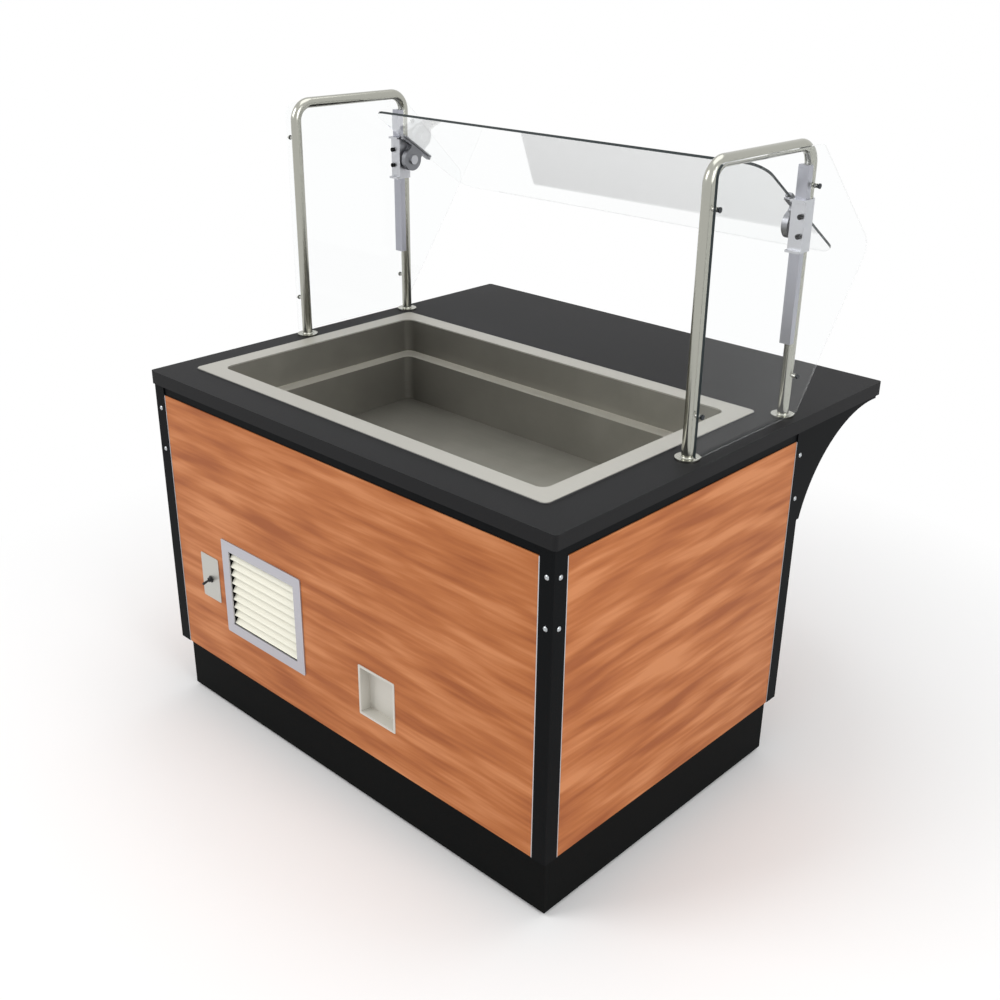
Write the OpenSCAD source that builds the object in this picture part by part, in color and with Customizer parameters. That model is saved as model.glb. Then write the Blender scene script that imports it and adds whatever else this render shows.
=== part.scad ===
// Mobile salad bar: a laminate-faced cabinet on hidden swivel casters, with a dark worktop that
// reaches out at the back as a tray shelf, a drop-in cold well for three full-size food pans, and
// a glass guard on two stainless hoops. The front face (grille, switch, recess) looks along -Y.
// Every piece is drawn with the front face at y = 0 and is then moved to the middle of the footprint.

/* [Cabinet] */
// Length of the cabinet over its corner posts
body_l = 1280; // [1270:1:1400]
// Depth of the cabinet over its corner posts
body_d = 850; // [845:1:950]
// Height of the worktop's top face above the floor
counter_h = 889; // [880:1:930]
// Height of the panels' lower edges above the floor, which is the casters' overall height
toe_h = 153; // [152:1:165]
// Width of the square corner posts
post_w = 36; // [34:1:38]
// Wall of the corner posts
post_wall = 2; // [1.5:0.5:3]
// Thickness of the laminate-faced panels
panel_t = 18; // [16:1:20]
// Width of the aluminium trim on each upright panel edge
trim_w = 2.4; // [1.5:0.1:4]
// Height of the dark strip between the panels and the worktop
reveal_h = 23.5; // [18:0.5:26]
// Width and height of the base rails
base_tube = 40; // [30:1:45]
// Wall of the base rails
base_wall = 2.5; // [2:0.5:3.5]
// Width of the cross members that carry the casters
cross_w = 100; // [96:1:110]
// Thickness of the equipment deck
deck_t = 2; // [1.5:0.5:3]

/* [Worktop] */
// Thickness of the worktop
slab_t = 32; // [30:1:40]
// How far the worktop passes the cabinet at the ends and the front
slab_over = 5; // [5:1:12]
// How far the tray shelf reaches behind the cabinet
shelf_reach = 325; // [290:1:350]
// Radius of the worktop's upright corners
slab_corner_r = 8; // [4:1:12]
// Height of the tray-shelf brackets
bracket_h = 227; // [215:1:240]
// Reach of the tray-shelf brackets
bracket_reach = 318; // [310:1:322]
// Radius of the brackets' hollow curve
bracket_curve_r = 298; // [290:1:302]
// Thickness of the brackets' steel
bracket_t = 4; // [3:0.5:6]
// Width of the brackets' flanges
bracket_flange_w = 34; // [28:1:36]

/* [Toe-kick] */
// Setback of the toe-kick at the cabinet's ends
toe_in_x = 15; // [12:1:18]
// Setback of the toe-kick at the front and the back
toe_in_y = 20; // [19:1:24]
// Thickness of the toe-kick boards
toe_t = 12; // [8:1:14]
// Gap between the toe-kick and the floor
toe_gap = 8; // [5:1:15]

/* [Cold well] */
// Distance from the cabinet's left end to the well's rim
well_in_left = 60; // [58:1:76]
// Distance from the cabinet's right end to the well's rim
well_in_right = 94; // [76:1:96]
// Distance from the cabinet's front to the well's rim
well_in_front = 79.5; // [76:0.5:84]
// Distance from the cabinet's back to the well's rim
well_in_back = 69.5; // [66:0.5:74]
// Width of the well's flat rim
rim_w = 48; // [44:1:52]
// Thickness of the well's rim
rim_t = 2.5; // [1.5:0.5:3]
// Depth of the pan ledge below the worktop
ledge_z = 87; // [60:1:95]
// Width of the pan ledge
ledge_w = 34; // [25:1:36]
// Depth of the well's floor below the worktop
well_depth = 210; // [190:1:225]
// Thickness of the well's stainless sheet
liner_t = 1.2; // [1:0.1:2]
// How far the rim covers the worktop around the cut-out
rim_lap = 22; // [18:1:24]
// Thickness of the galvanised jacket
jacket_t = 1.2; // [1:0.1:2]
// Foam below the cooling tube
foam_t = 25; // [20:1:30]
// Diameter of the cooling tube
coil_d = 10; // [8:1:12]
// Straight runs of the cooling tube
coil_runs = 6; // [4:2:6]
// Distance of the cooling tube's outer runs from the edge of the pan's floor
coil_edge = 43.5; // [40:0.5:60]

/* [Drain] */
// Distance of the drain from the middle of the well
drain_off = 167; // [140:1:260]
// Outside diameter of the drain's tail
drain_d = 32; // [28:1:34]
// Length of the drain valve's lever
drain_lever_l = 90; // [70:1:100]

/* [Front face] */
// Distance from the cabinet's left end to the grille's middle
grille_in = 378.5; // [360:0.5:400]
// Height of the grille's middle above the toe-kick
grille_up = 238; // [227:1:257]
// Outside width of the grille's frame
grille_w = 304; // [290:1:320]
// Outside height of the grille's frame
grille_h = 254; // [240:1:260]
// Width of the grille's flat border
grille_border = 27; // [24:1:30]
// Number of louvre blades
louvres = 9; // [6:1:9]
// Slope of the louvre blades
louvre_tilt = 52; // [40:1:56]
// Distance from the cabinet's left end to the switch plate's middle
switch_in = 166.5; // [160:0.5:175]
// Height of the switch plate's middle above the toe-kick
switch_up = 236; // [217:1:257]
// Width of the switch plate
switch_w = 72; // [68:1:76]
// Height of the switch plate
switch_h = 120; // [110:1:125]
// Reach of the toggle from its pivot to its tip's middle
toggle_l = 20; // [16:0.5:24]
// Swing of the toggle to each side of square
toggle_swing = 13; // [8:1:15]
// Distance from the cabinet's left end to the service recess's middle
recess_in = 782; // [760:1:800]
// Height of the recess's middle above the toe-kick
recess_up = 164; // [147:1:177]
// Outside width of the recess's flange
recess_w = 118; // [105:1:125]
// Outside height of the recess's flange
recess_h = 128; // [110:1:135]
// Depth of the recess
recess_deep = 27; // [20:1:32]

/* [Guard hoops] */
// Distance from the cabinet's left end to the left hoop
guard_in_left = 28; // [28:0.5:32]
// Distance from the cabinet's right end to the right hoop
guard_in_right = 40; // [38:0.5:44]
// Distance from the cabinet's back to the hoops' rear legs
leg_in_back = 49; // [40:1:60]
// Distance between the two legs of a hoop
leg_gap = 354; // [340:1:370]
// Height of the hoops' top middle line above the worktop
guard_h = 580.5; // [565:0.5:600]
// Outside diameter of the hoop tube
tube_d = 25.4; // [24:0.1:28]
// Wall of the hoop tube
tube_wall = 1.5; // [1.2:0.1:2]
// Middle-line radius of the hoops' bends
bend_r = 42; // [36:1:50]
// Diameter of the hoops' foot flanges
foot_d = 52; // [46:1:54]
// Thickness of the foot flanges
foot_t = 5; // [4:0.5:7]

/* [Guard glass] */
// Thickness of every glass pane
glass_t = 6; // [5:0.5:8]
// Slope of the front glass below level
glass_tilt = 34.3; // [30:0.1:40]
// Width of the front glass along its slope
glass_slope_w = 400; // [370:1:410]
// How much of the front glass lies above its pivot along the slope
glass_upper = 184; // [170:1:195]
// Distance from the pivot to the front glass's middle plane
glass_lift = 36; // [36:0.5:40]
// Corner radius of the front glass
glass_corner_r = 42; // [30:1:50]
// Height of the glass pivot above the worktop
pivot_h = 415; // [410:1:425]
// Gap between a hoop tube and its end glass
end_gap = 8; // [7:0.5:9]
// Height of the end glass's lower edge above the worktop
end_lift = 8; // [5:1:12]
// Reach of the end glass's rear corner behind the rear leg
end_reach = 253; // [235:1:265]
// Height of the end glass's rear corner above the worktop
end_tip_h = 343; // [330:1:355]
// Diameter of the standoff heads
standoff_d = 11; // [10:0.5:14]

/* [Guard clamps] */
// Height of the sliding clamps
clamp_h = 108; // [100:1:116]
// Wall of the sliding clamps outside the tube
clamp_wall = 3.5; // [3:0.1:4]
// Thickness of the guide rails in front of the tube
rail_t = 13; // [10:0.5:15]
// Width of the guide rails
rail_w = 25; // [20:1:25]
// Height of the rails' lower ends above the worktop
rail_low = 169; // [160:1:180]
// Height of the rails' upper ends above the worktop
rail_high = 541; // [535:1:545]
// Length of the glass arms
arm_l = 110; // [90:1:120]

// Length of the boss between a clamp and its glass arm
boss_l = 5; // [3:0.5:7]
// Reach of a clamp's lips in front of its body
clamp_lip = 9; // [4:1:10]

/* [Casters] */
// Height of the casters' plates, bearings and crowns above the wheels
caster_stack = 28; // [27:0.5:32]
// Width of the caster wheels
wheel_w = 32; // [28:1:34]
// Distance from the kingpin to the axle
caster_trail = 35; // [30:1:36]
// Distance from the cabinet's ends to the kingpins
caster_in_x = 135; // [135:1:150]
// Distance from the cabinet's front and back to the kingpins
caster_in_y = 137; // [137:1:150]

/* [Hidden] */
$fn = 48;
eps = 0.01;
// Gap between pieces that touch, and running clearance of pins and shafts
seat = 0.3;
run = 0.06;

// Heights and edges that the pieces share
slab_under = counter_h - slab_t;
panel_top = slab_under - reveal_h;
panel_back = 1 + panel_t;
slab_rear = body_d + shelf_reach;
post_in = body_l / 2 - post_w;
deck_z = toe_h + base_tube + seat;
grille_z = toe_h + grille_up;
switch_z = toe_h + switch_up;
recess_z = toe_h + recess_up;
grille_x = grille_in - body_l / 2;
switch_x = switch_in - body_l / 2;
recess_x = recess_in - body_l / 2;

// Toggle
toggle_y = -4;
toggle_z = switch_z - 5;
toggle_tip_r = 3.5;
toggle_ball_r = 4;
toggle_front = toggle_y - toggle_l * cos(toggle_swing) - toggle_tip_r;

// The footprint's middle in depth
mid_y = (slab_rear + toggle_front) / 2;

// Well
well_l = body_l - well_in_left - well_in_right;
well_d = body_d - well_in_front - well_in_back;
well_shift = (well_in_left - well_in_right) / 2;
well_mid_y = well_in_front + well_d / 2;
pan_l = well_l - 2 * rim_w;
pan_d = well_d - 2 * rim_w;
low_l = pan_l - 2 * ledge_w;
low_d = pan_d - 2 * ledge_w;
pan_corner_r = 22;
low_corner_r = 20;
rim_corner_r = 14;
cut_l = well_l - 2 * rim_lap;
cut_d = well_d - 2 * rim_lap;
cut_gap = 1.5;
floor_z = counter_h - well_depth;
ledge_top = counter_h - ledge_z;
coil_z = floor_z - liner_t - seat - coil_d / 2;
jacket_z = coil_z - coil_d / 2 - foam_t;
coil_pitch = (low_d - 2 * coil_edge) / (coil_runs - 1);
coil_bend_gap = 8;
coil_half = low_l / 2 - coil_pitch / 2 - coil_d / 2 - coil_bend_gap;
coil_end_y = (coil_runs - 1) * coil_pitch / 2;
coil_tail = 20;

// Drain
drain_x = well_shift + drain_off;
drain_y = well_mid_y;
drain_hole_r = drain_d / 2 + 0.5;
drain_bore_r = drain_d / 2 - 4;
drain_flange_r = drain_d / 2 + 14;
drain_flange_t = 2;
tail_z = jacket_z - 40;
valve_h = 60;
valve_z = tail_z - valve_h / 2;
valve_r = drain_d / 2 + 6;
stem_r = 5;
outlet_l = 70;

// Guard
guard_pitch = body_l - guard_in_left - guard_in_right;
guard_shift = (guard_in_left - guard_in_right) / 2;
leg_back_y = body_d - leg_in_back;
leg_y = leg_back_y - leg_gap;
top_z = counter_h + guard_h;
foot_top = counter_h + foot_t;
tube_r = tube_d / 2;
pivot_z = counter_h + pivot_h;
pivot_r = 6;
clamp_half = tube_r + clamp_wall;
clamp_front = tube_r + rail_t + 4;
clamp_z = pivot_z - 50;
flange_h = 5;
boss_r = 18;
arm_out = clamp_half + boss_l + 1;
arm_wall = 3.2;
arm_in = arm_out + 14;
jaw_t = 4.5;
glass_edge = arm_out + arm_wall + seat;
hub_r = 29;
knob_r = 12;
knob_t = 6;
glass_w = guard_pitch - 2 * glass_edge;
end_in = tube_r + end_gap;
end_front = 11;
end_foot = 14;
end_head = 6;
end_top = 1;
end_radii = [8, 12, 38, 30, 24];
standoff_heights = [96, 499];
standoff_cap = 2.6;
standoff_spacer_r = 4.5;
standoff_pin_r = 3;
foot_stud_l = 24;
foot_stud_r = 6;
foot_spigot_l = 25;
screw_heights = [24, -16];
screw_out = 8;
screw_head_r = 5.5;

// Casters
wheel_r = (toe_h - caster_stack) / 2;
wheel_z = wheel_r;
plate_t = 5;
crown_t = 6;
race_h = 12;
crown_top = toe_h - plate_t - race_h;
crown_z = crown_top - crown_t;
fork_gap = wheel_w + 4;
fork_t = 4;
axle_r = 5;
kingpin_r = 6;
ear_y = 66;
ear_z = crown_z - 30;
ear_r = 9;
pedal_pin_r = 3;
pedal_t = 3;
shoe_r = 3;

// Post screws, as heights below the worktop's underside
post_screw_drops = [60, 166];
post_mid = body_l / 2 - post_w / 2;
post_screw_r = 2.5;

// ---------------------------------------------------------------- helpers

// From the cabinet's frame to the middle of the footprint
module placed() {
    translate([0, -mid_y, 0]) children();
}

// The same thing at both ends of the cabinet
module both_ends() {
    children();
    mirror([1, 0, 0]) children();
}

// A box between two opposite corners
module block(low, high) {
    translate(low) cube(high - low);
}

// A square-cornered tube between two opposite corners, open along axis 0 (X), 1 (Y) or 2 (Z)
module box_tube(low, high, wall, axis) {
    inset = [for (i = [0:2]) i == axis ? -1 : wall];
    difference() {
        block(low, high);
        block(low + inset, high - inset);
    }
}

// A flat rectangle with round corners, centred
module rounded(size, r) {
    square([size.x - 2 * r, size.y], center = true);
    square([size.x, size.y - 2 * r], center = true);
    for (sx = [-1, 1], sy = [-1, 1])
        translate([sx * (size.x / 2 - r), sy * (size.y / 2 - r)]) circle(r);
}

// An outline extruded upwards around the well's middle
module well_layer(z, h) {
    translate([well_shift, well_mid_y, z]) linear_extrude(h) children();
}

// An outline in the Y-Z plane, extruded along X from x0
module side_plate(x0, w) {
    translate([x0, 0, 0]) rotate([90, 0, 90]) linear_extrude(w) children();
}

// An outline in the X-Z plane, extruded back along Y from y0
module front_plate(y0, t) {
    translate([0, y0 + t, 0]) rotate([90, 0, 0]) linear_extrude(t) children();
}

// A round bar from one point along X, Y or Z
module rod_x(at, r, l) {
    translate(at) rotate([0, 90, 0]) cylinder(h = l, r = r);
}
module rod_y(at, r, l) {
    translate(at) rotate([-90, 0, 0]) cylinder(h = l, r = r);
}
module rod_z(at, r, l) {
    translate(at) cylinder(h = l, r = r);
}

// A round bar through a list of points, with ball elbows
module pipe(points, r) {
    for (i = [0 : len(points) - 2]) {
        run_v = points[i + 1] - points[i];
        turn = acos(run_v.z / norm(run_v));
        translate(points[i])
            rotate([0, turn, atan2(run_v.y, run_v.x)])
                cylinder(h = norm(run_v), r = r);
    }
    for (i = [1 : len(points) - 2])
        translate(points[i]) sphere(r);
}

// The corner of a rounded outline: the arc that touches both edges at point i
function arc_points(points, radii, i) =
    let (n = len(points),
         here = points[i],
         back = points[(i + n - 1) % n] - here,
         on = points[(i + 1) % n] - here,
         u = back / norm(back),
         v = on / norm(on),
         half = acos(u * v) / 2,
         middle = here + (u + v) / norm(u + v) * radii[i] / sin(half),
         start = here + u * radii[i] / tan(half) - middle,
         a = atan2(start.y, start.x))
    [for (k = [0 : 8]) middle + radii[i] * [cos(a + k * (180 - 2 * half) / 8),
                                            sin(a + k * (180 - 2 * half) / 8)]];

// An anticlockwise outline with each corner rounded to its own radius
function rounded_outline(points, radii) =
    [for (i = [0 : len(points) - 1]) each arc_points(points, radii, i)];

// ---------------------------------------------------------------- cabinet

// Welded steel rails under the cabinet, with two wide members for the casters
module base_frame() color("#1c1e20") placed() {
    rail_in = body_l / 2 - panel_back - seat;
    rail_y = panel_back + seat;
    side_y = post_w + seat;
    for (y = [rail_y, body_d - rail_y - base_tube])
        box_tube([-rail_in + base_tube + seat, y, toe_h],
                 [rail_in - base_tube - seat, y + base_tube, toe_h + base_tube], base_wall, 0);
    both_ends() {
        box_tube([rail_in - base_tube, side_y, toe_h],
                 [rail_in, body_d - side_y, toe_h + base_tube], base_wall, 1);
        cross_x = body_l / 2 - caster_in_x;
        box_tube([cross_x - cross_w / 2, rail_y + base_tube + seat, toe_h],
                 [cross_x + cross_w / 2, body_d - rail_y - base_tube - seat, toe_h + base_tube],
                 base_wall, 1);
    }
}

// Sheet-steel floor that carries the cooling unit
module base_deck() color("#9a9c9e") placed()
    block([-post_in + seat, post_w + seat, deck_z],
          [post_in - seat, body_d - post_w - seat, deck_z + deck_t]);

// Dark rails under the worktop, which show as the strip above the panels
module top_frame() color("#141517") placed() {
    rail_z = panel_top + seat;
    tube = 25;
    set_in = 3;
    for (y = [set_in, body_d - set_in - tube])
        box_tube([-post_in + seat, y, rail_z], [post_in - seat, y + tube, slab_under - seat], 2, 0);
    both_ends()
        box_tube([body_l / 2 - set_in - tube, post_w + seat, rail_z],
                 [body_l / 2 - set_in, body_d - post_w - seat, slab_under - seat], 2, 1);
}

// Children at the posts' screw places on the front (0), the ends (1) or the back (2), facing -Y
module at_post_screws(face) {
    for (sx = [-1, 1], drop = post_screw_drops) translate([0, 0, slab_under - drop]) {
        if (face == 0) translate([sx * post_mid, 0, 0]) children();
        if (face == 2) translate([sx * post_mid, body_d, 0]) rotate([0, 0, 180]) children();
        if (face == 1) for (y = [post_w / 2, body_d - post_w / 2])
            translate([sx * body_l / 2, y, 0]) rotate([0, 0, sx * 90]) children();
    }
}

// Four square steel posts
module corner_posts() color("#17181a") placed()
    difference() {
        both_ends()
            for (y = [0, body_d - post_w])
                box_tube([post_in, y, toe_h], [body_l / 2, y + post_w, slab_under - seat],
                         post_wall, 2);
        for (face = [0 : 2])
            at_post_screws(face) rod_y([0, -1, 0], post_screw_r + run, post_wall + 2);
    }

// Dome-headed screws at the tops of the posts; the eight at the back hold the shelf brackets
module post_screws() color("#c9cccd") placed() {
    for (face = [0, 1]) at_post_screws(face) dome_screw();
    at_post_screws(2) translate([0, -bracket_t, 0]) dome_screw();
}

// One dome-headed screw whose head stands on the plane y = 0
module dome_screw() {
    head_r = 5.5;
    head_h = 2.6;
    dome_r = 7.2;
    rotate([90, 0, 0]) {
        translate([0, 0, -12]) cylinder(h = 12 + eps, r = post_screw_r);
        rotate_extrude() intersection() {
            square([head_r, head_h]);
            translate([0, head_h - dome_r]) circle(dome_r);
        }
    }
}

// The outlines that the front panel is cut to
module front_cuts() {
    translate([grille_x, grille_z])
        square([grille_w - 2 * grille_border + 8, grille_h - 2 * grille_border + 8], center = true);
    translate([switch_x, switch_z]) square([switch_w - 30, switch_h - 58], center = true);
    translate([recess_x, recess_z]) square([recess_w - 7, recess_h - 7], center = true);
}

// Laminate-faced board between the front posts, cut for the grille, the switch and the recess
module front_panel() color("#c4784a") placed()
    front_plate(1, panel_t) difference() {
        panel_outline();
        front_cuts();
    }

// The outline of a long panel between its trims
module panel_outline() {
    half = post_in - seat - trim_w - seat;
    translate([-half, toe_h + 0.5]) square([2 * half, panel_top - toe_h - 0.5]);
}

// Plain laminate-faced board between the back posts
module rear_panel() color("#c4784a") placed()
    front_plate(body_d - 1 - panel_t, panel_t) panel_outline();

// Laminate-faced boards at both ends
module end_panels() color("#c4784a") placed()
    both_ends()
        block([body_l / 2 - 1 - panel_t, post_w + 2 * seat + trim_w, toe_h + 0.5],
              [body_l / 2 - 1, body_d - post_w - 2 * seat - trim_w, panel_top]);

// Aluminium strips on the panels' upright edges, beside the posts
module edge_trims() color("#b9bbbc") placed()
    both_ends() {
        for (y = [0.5, body_d - panel_back])
            block([post_in - seat - trim_w, y, toe_h + 0.5],
                  [post_in - seat, y + panel_t + 0.5, panel_top]);
        for (y = [post_w + seat, body_d - post_w - seat - trim_w])
            block([body_l / 2 - panel_back, y, toe_h + 0.5],
                  [body_l / 2 - 0.5, y + trim_w, panel_top]);
    }

// Black boards that hide the casters
module toe_kick() color("#151618") placed() {
    out_x = body_l / 2 - toe_in_x;
    top = toe_h - seat;
    for (y = [toe_in_y, body_d - toe_in_y - toe_t])
        block([-out_x, y, toe_gap], [out_x, y + toe_t, top]);
    both_ends()
        block([out_x - toe_t, toe_in_y + toe_t + seat, toe_gap],
              [out_x, body_d - toe_in_y - toe_t - seat, top]);
}

// ---------------------------------------------------------------- worktop

// Dark slab with the well's cut-out and blind holes for the hoops' studs
module worktop() color("#404042") placed()
    difference() {
        slab_d = slab_rear + slab_over;
        translate([0, slab_d / 2 - slab_over, slab_under])
            linear_extrude(slab_t)
                rounded([body_l + 2 * slab_over, slab_d], slab_corner_r);
        well_layer(slab_under - 1, slab_t + 2) rounded([cut_l, cut_d], 10);
        at_feet() rod_z([0, 0, counter_h - foot_stud_l - 0.5], foot_stud_r + 0.1, slab_t);
    }

// Black steel brackets under the tray shelf, against the back posts
module shelf_brackets() color("#17181a") placed()
    both_ends() translate([0, body_d, slab_under]) {
        web_x = body_l / 2 - 2 - bracket_t;
        flange_x = web_x + bracket_t - bracket_flange_w;
        side_plate(web_x, bracket_t) difference() {
            translate([0, -bracket_h]) square([bracket_reach, bracket_h]);
            translate([bracket_reach - 18, -bracket_curve_r - 10]) circle(bracket_curve_r, $fn = 96);
        }
        block([flange_x, 0, -bracket_t], [web_x + eps, bracket_reach, 0]);
        difference() {
            block([flange_x, 0, -bracket_h], [web_x + eps, bracket_t, 0]);
            for (drop = post_screw_drops)
                rod_y([post_mid, -1, -drop], post_screw_r + run, bracket_t + 2);
        }
    }

// ---------------------------------------------------------------- cold well

// Stainless pan with a flat rim, a ledge for the food pans and a drain hole
module well_liner() color("#b9b9b4") placed()
    difference() {
        union() {
            well_layer(counter_h, rim_t) rounded([well_l, well_d], rim_corner_r);
            well_layer(ledge_top - liner_t, ledge_z + liner_t)
                rounded([pan_l + 2 * liner_t, pan_d + 2 * liner_t], pan_corner_r + liner_t);
            well_layer(floor_z - liner_t, well_depth - ledge_z + liner_t)
                rounded([low_l + 2 * liner_t, low_d + 2 * liner_t], low_corner_r + liner_t);
        }
        well_layer(ledge_top, ledge_z + rim_t + 1) rounded([pan_l, pan_d], pan_corner_r);
        well_layer(floor_z, well_depth) rounded([low_l, low_d], low_corner_r);
        rod_z([drain_x, drain_y, floor_z - 5], drain_hole_r, 10);
    }

// Foam between the pan and its jacket
module well_foam() color("#e6dfc8") placed() {
    in_l = cut_l - 2 * cut_gap - 2 * jacket_t - 2 * seat;
    in_d = cut_d - 2 * cut_gap - 2 * jacket_t - 2 * seat;
    gap = 2 * (liner_t + seat);
    difference() {
        well_layer(jacket_z + jacket_t + seat, counter_h - jacket_z - jacket_t - 2 * seat)
            rounded([in_l, in_d], 8);
        well_layer(ledge_top - liner_t - seat, ledge_z + 10)
            rounded([pan_l + gap, pan_d + gap], pan_corner_r + gap / 2);
        well_layer(coil_z - coil_d / 2 - seat, well_depth)
            rounded([low_l + gap, low_d + gap], low_corner_r + gap / 2);
        rod_z([drain_x, drain_y, jacket_z], drain_hole_r + 1.5, 60);
        at_coil_ends() rod_z([0, 0, jacket_z], coil_d / 2 + 1, 60);
    }
}

// Galvanised box around the foam
module well_jacket() color("#8f9396") placed() {
    out_l = cut_l - 2 * cut_gap;
    out_d = cut_d - 2 * cut_gap;
    difference() {
        well_layer(jacket_z, counter_h - jacket_z - seat) rounded([out_l, out_d], 9);
        well_layer(jacket_z + jacket_t, counter_h - jacket_z)
            rounded([out_l - 2 * jacket_t, out_d - 2 * jacket_t], 9 - jacket_t);
        rod_z([drain_x, drain_y, jacket_z - 5], drain_hole_r + 1.5, 20);
        at_coil_ends() rod_z([0, 0, jacket_z - 5], coil_d / 2 + 1, 20);
    }
}

// The two places where the cooling tube turns down
module at_coil_ends() {
    for (sy = [-1, 1])
        translate([well_shift - coil_half, well_mid_y + sy * coil_end_y, 0]) children();
}

// One copper tube in straight runs and return bends under the pan's floor
module cooling_tube() color("#b87333") placed()
    translate([well_shift, well_mid_y, coil_z]) {
        for (i = [0 : coil_runs - 1])
            rod_x([-coil_half, -coil_end_y + i * coil_pitch, 0], coil_d / 2, 2 * coil_half);
        for (i = [0 : coil_runs - 2])
            translate([i % 2 == 0 ? coil_half : -coil_half,
                       -coil_end_y + (i + 0.5) * coil_pitch, 0])
                rotate([0, 0, i % 2 == 0 ? -90 : 90])
                    rotate_extrude(angle = 180) translate([coil_pitch / 2, 0]) circle(coil_d / 2);
        for (sy = [-1, 1]) translate([-coil_half, sy * coil_end_y, 0]) {
            sphere(coil_d / 2);
            rod_z([0, 0, jacket_z - coil_z - coil_tail], coil_d / 2,
                  coil_z - jacket_z + coil_tail);
        }
    }

// Stainless drain with a flange on the pan's floor and a nut under the jacket
module drain_fitting() color("#c4c6c6") placed()
    translate([drain_x, drain_y, 0]) difference() {
        union() {
            rod_z([0, 0, floor_z], drain_flange_r, drain_flange_t);
            rod_z([0, 0, tail_z], drain_d / 2, floor_z - tail_z + drain_flange_t);
            rod_z([0, 0, jacket_z - 14 - seat], drain_d / 2 + 9, 14);
        }
        rod_z([0, 0, tail_z - 1], drain_bore_r, floor_z - tail_z + 10);
    }

// Perforated disc that sits in the drain
module drain_strainer() color("#cfd1d1") placed()
    translate([drain_x, drain_y, floor_z + drain_flange_t]) difference() {
        union() {
            cylinder(h = 1.5, r = drain_bore_r + 8);
            translate([0, 0, -12]) cylinder(h = 12, r = drain_bore_r - 0.5);
        }
        translate([0, 0, -13]) cylinder(h = 13 + eps, r = drain_bore_r - 2);
        for (a = [0 : 45 : 315])
            rotate([0, 0, a]) translate([6.5, 0, -1]) cylinder(h = 4, r = 1.6);
    }

// Brass ball valve under the drain
module drain_valve() color("#b5923f") placed()
    translate([drain_x, drain_y, valve_z]) difference() {
        union() {
            translate([0, 0, -valve_h / 2]) cylinder(h = valve_h, r = valve_r);
            sphere(valve_r + 5);
            rod_y([0, -valve_r - 12, 0], stem_r + 4, 20);
        }
        translate([0, 0, -valve_h / 2 - 1]) cylinder(h = valve_h + 2, r = drain_bore_r - 1);
        rod_y([0, -valve_r - 13, 0], stem_r + run, 16);
    }

// Open tail below the valve, for a hose
module drain_outlet() color("#b5923f") placed()
    translate([drain_x, drain_y, valve_z - valve_h / 2 - outlet_l]) difference() {
        cylinder(h = outlet_l, r = drain_d / 2 - 2);
        translate([0, 0, -1]) cylinder(h = outlet_l + 2, r = drain_bore_r - 1);
    }

// Lever of the drain valve, level when shut
module drain_lever() color("#a8281e") placed()
    translate([drain_x, drain_y - valve_r - 12, valve_z]) {
        rod_y([0, -5, 0], stem_r, 19);
        translate([0, -4 - seat, 0]) rotate([90, 0, 0]) linear_extrude(3) {
            circle(11);
            translate([0, -8]) square([drain_lever_l - 8, 16]);
            translate([drain_lever_l - 8, 0]) circle(8);
        }
    }

// ---------------------------------------------------------------- cooling unit

unit_z = deck_z + deck_t + seat;
unit_w = 400;
unit_d = 330;
unit_y = 60;
unit_t = 3;
unit_top = unit_z + unit_t;
cond_w = 260;
cond_h = 250;
cond_t = 44;
cond_y = unit_y + 6;
cond_z = unit_top + seat;
cond_row_z = 25;
cond_row_pitch = 40;
fan_z = cond_z + cond_h / 2;
fan_r = 98;
ring_r = fan_r + 5;
shroud_y = cond_y + cond_t + seat;
shroud_d = 34;
comp_side = 75;
comp_back = 240;
comp_x = grille_x - comp_side;
comp_y = unit_y + comp_back;
comp_r = 75;
comp_h = 120;
comp_dome_h = 45;
comp_plate = 156;
comp_foot_h = 22;
comp_z = unit_top + comp_foot_h;
foot_at = 62;
port_x = 45;
port_z = comp_z + comp_h + comp_dome_h;
line_rise = 40;
line_r = 4;
discharge_out = 20;
liquid_out = 34;
drier_r = 12;
drier_l = 110;
drier_up = 60;
foot_spots = [for (sx = [-1, 1], sy = [-1, 1]) [sx * foot_at, sy * foot_at]];

// Folded steel tray that carries the cooling unit
module unit_base() color("#3a3c3e") placed() {
    x0 = grille_x - unit_w / 2;
    difference() {
        block([x0, unit_y, unit_z], [x0 + unit_w, unit_y + unit_d, unit_z + 18]);
        block([x0 + 2, unit_y + 2, unit_top], [x0 + unit_w - 2, unit_y + unit_d - 2, unit_z + 30]);
    }
}

// Rubber feet under the compressor
module compressor_feet() color("#1b1b1b") placed()
    for (p = foot_spots)
        translate([comp_x + p.x, comp_y + p.y, unit_top])
            cylinder(h = comp_z - unit_top - 4 - seat, r = 12);

// Hermetic compressor with its mounting plate and terminal box
module compressor() color("#1a1b1d") placed()
    translate([comp_x, comp_y, comp_z]) {
        rotate_extrude() {
            square([comp_r, comp_h]);
            translate([0, comp_h]) intersection() {
                square([comp_r, comp_dome_h]);
                translate([0, comp_dome_h - comp_r - 10]) circle(comp_r + 10);
            }
        }
        difference() {
            translate([0, 0, -4]) linear_extrude(4) rounded([comp_plate, comp_plate], 14);
            for (p = foot_spots) translate([p.x, p.y, -5]) cylinder(h = 6, r = 4.5);
        }
        block([comp_r - 6, -25, 40], [comp_r + 28, 25, 95]);
        for (sx = [-1, 1]) rod_z([sx * port_x, 0, comp_h + 10], 7, port_z - comp_z - comp_h - 10);
    }

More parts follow.
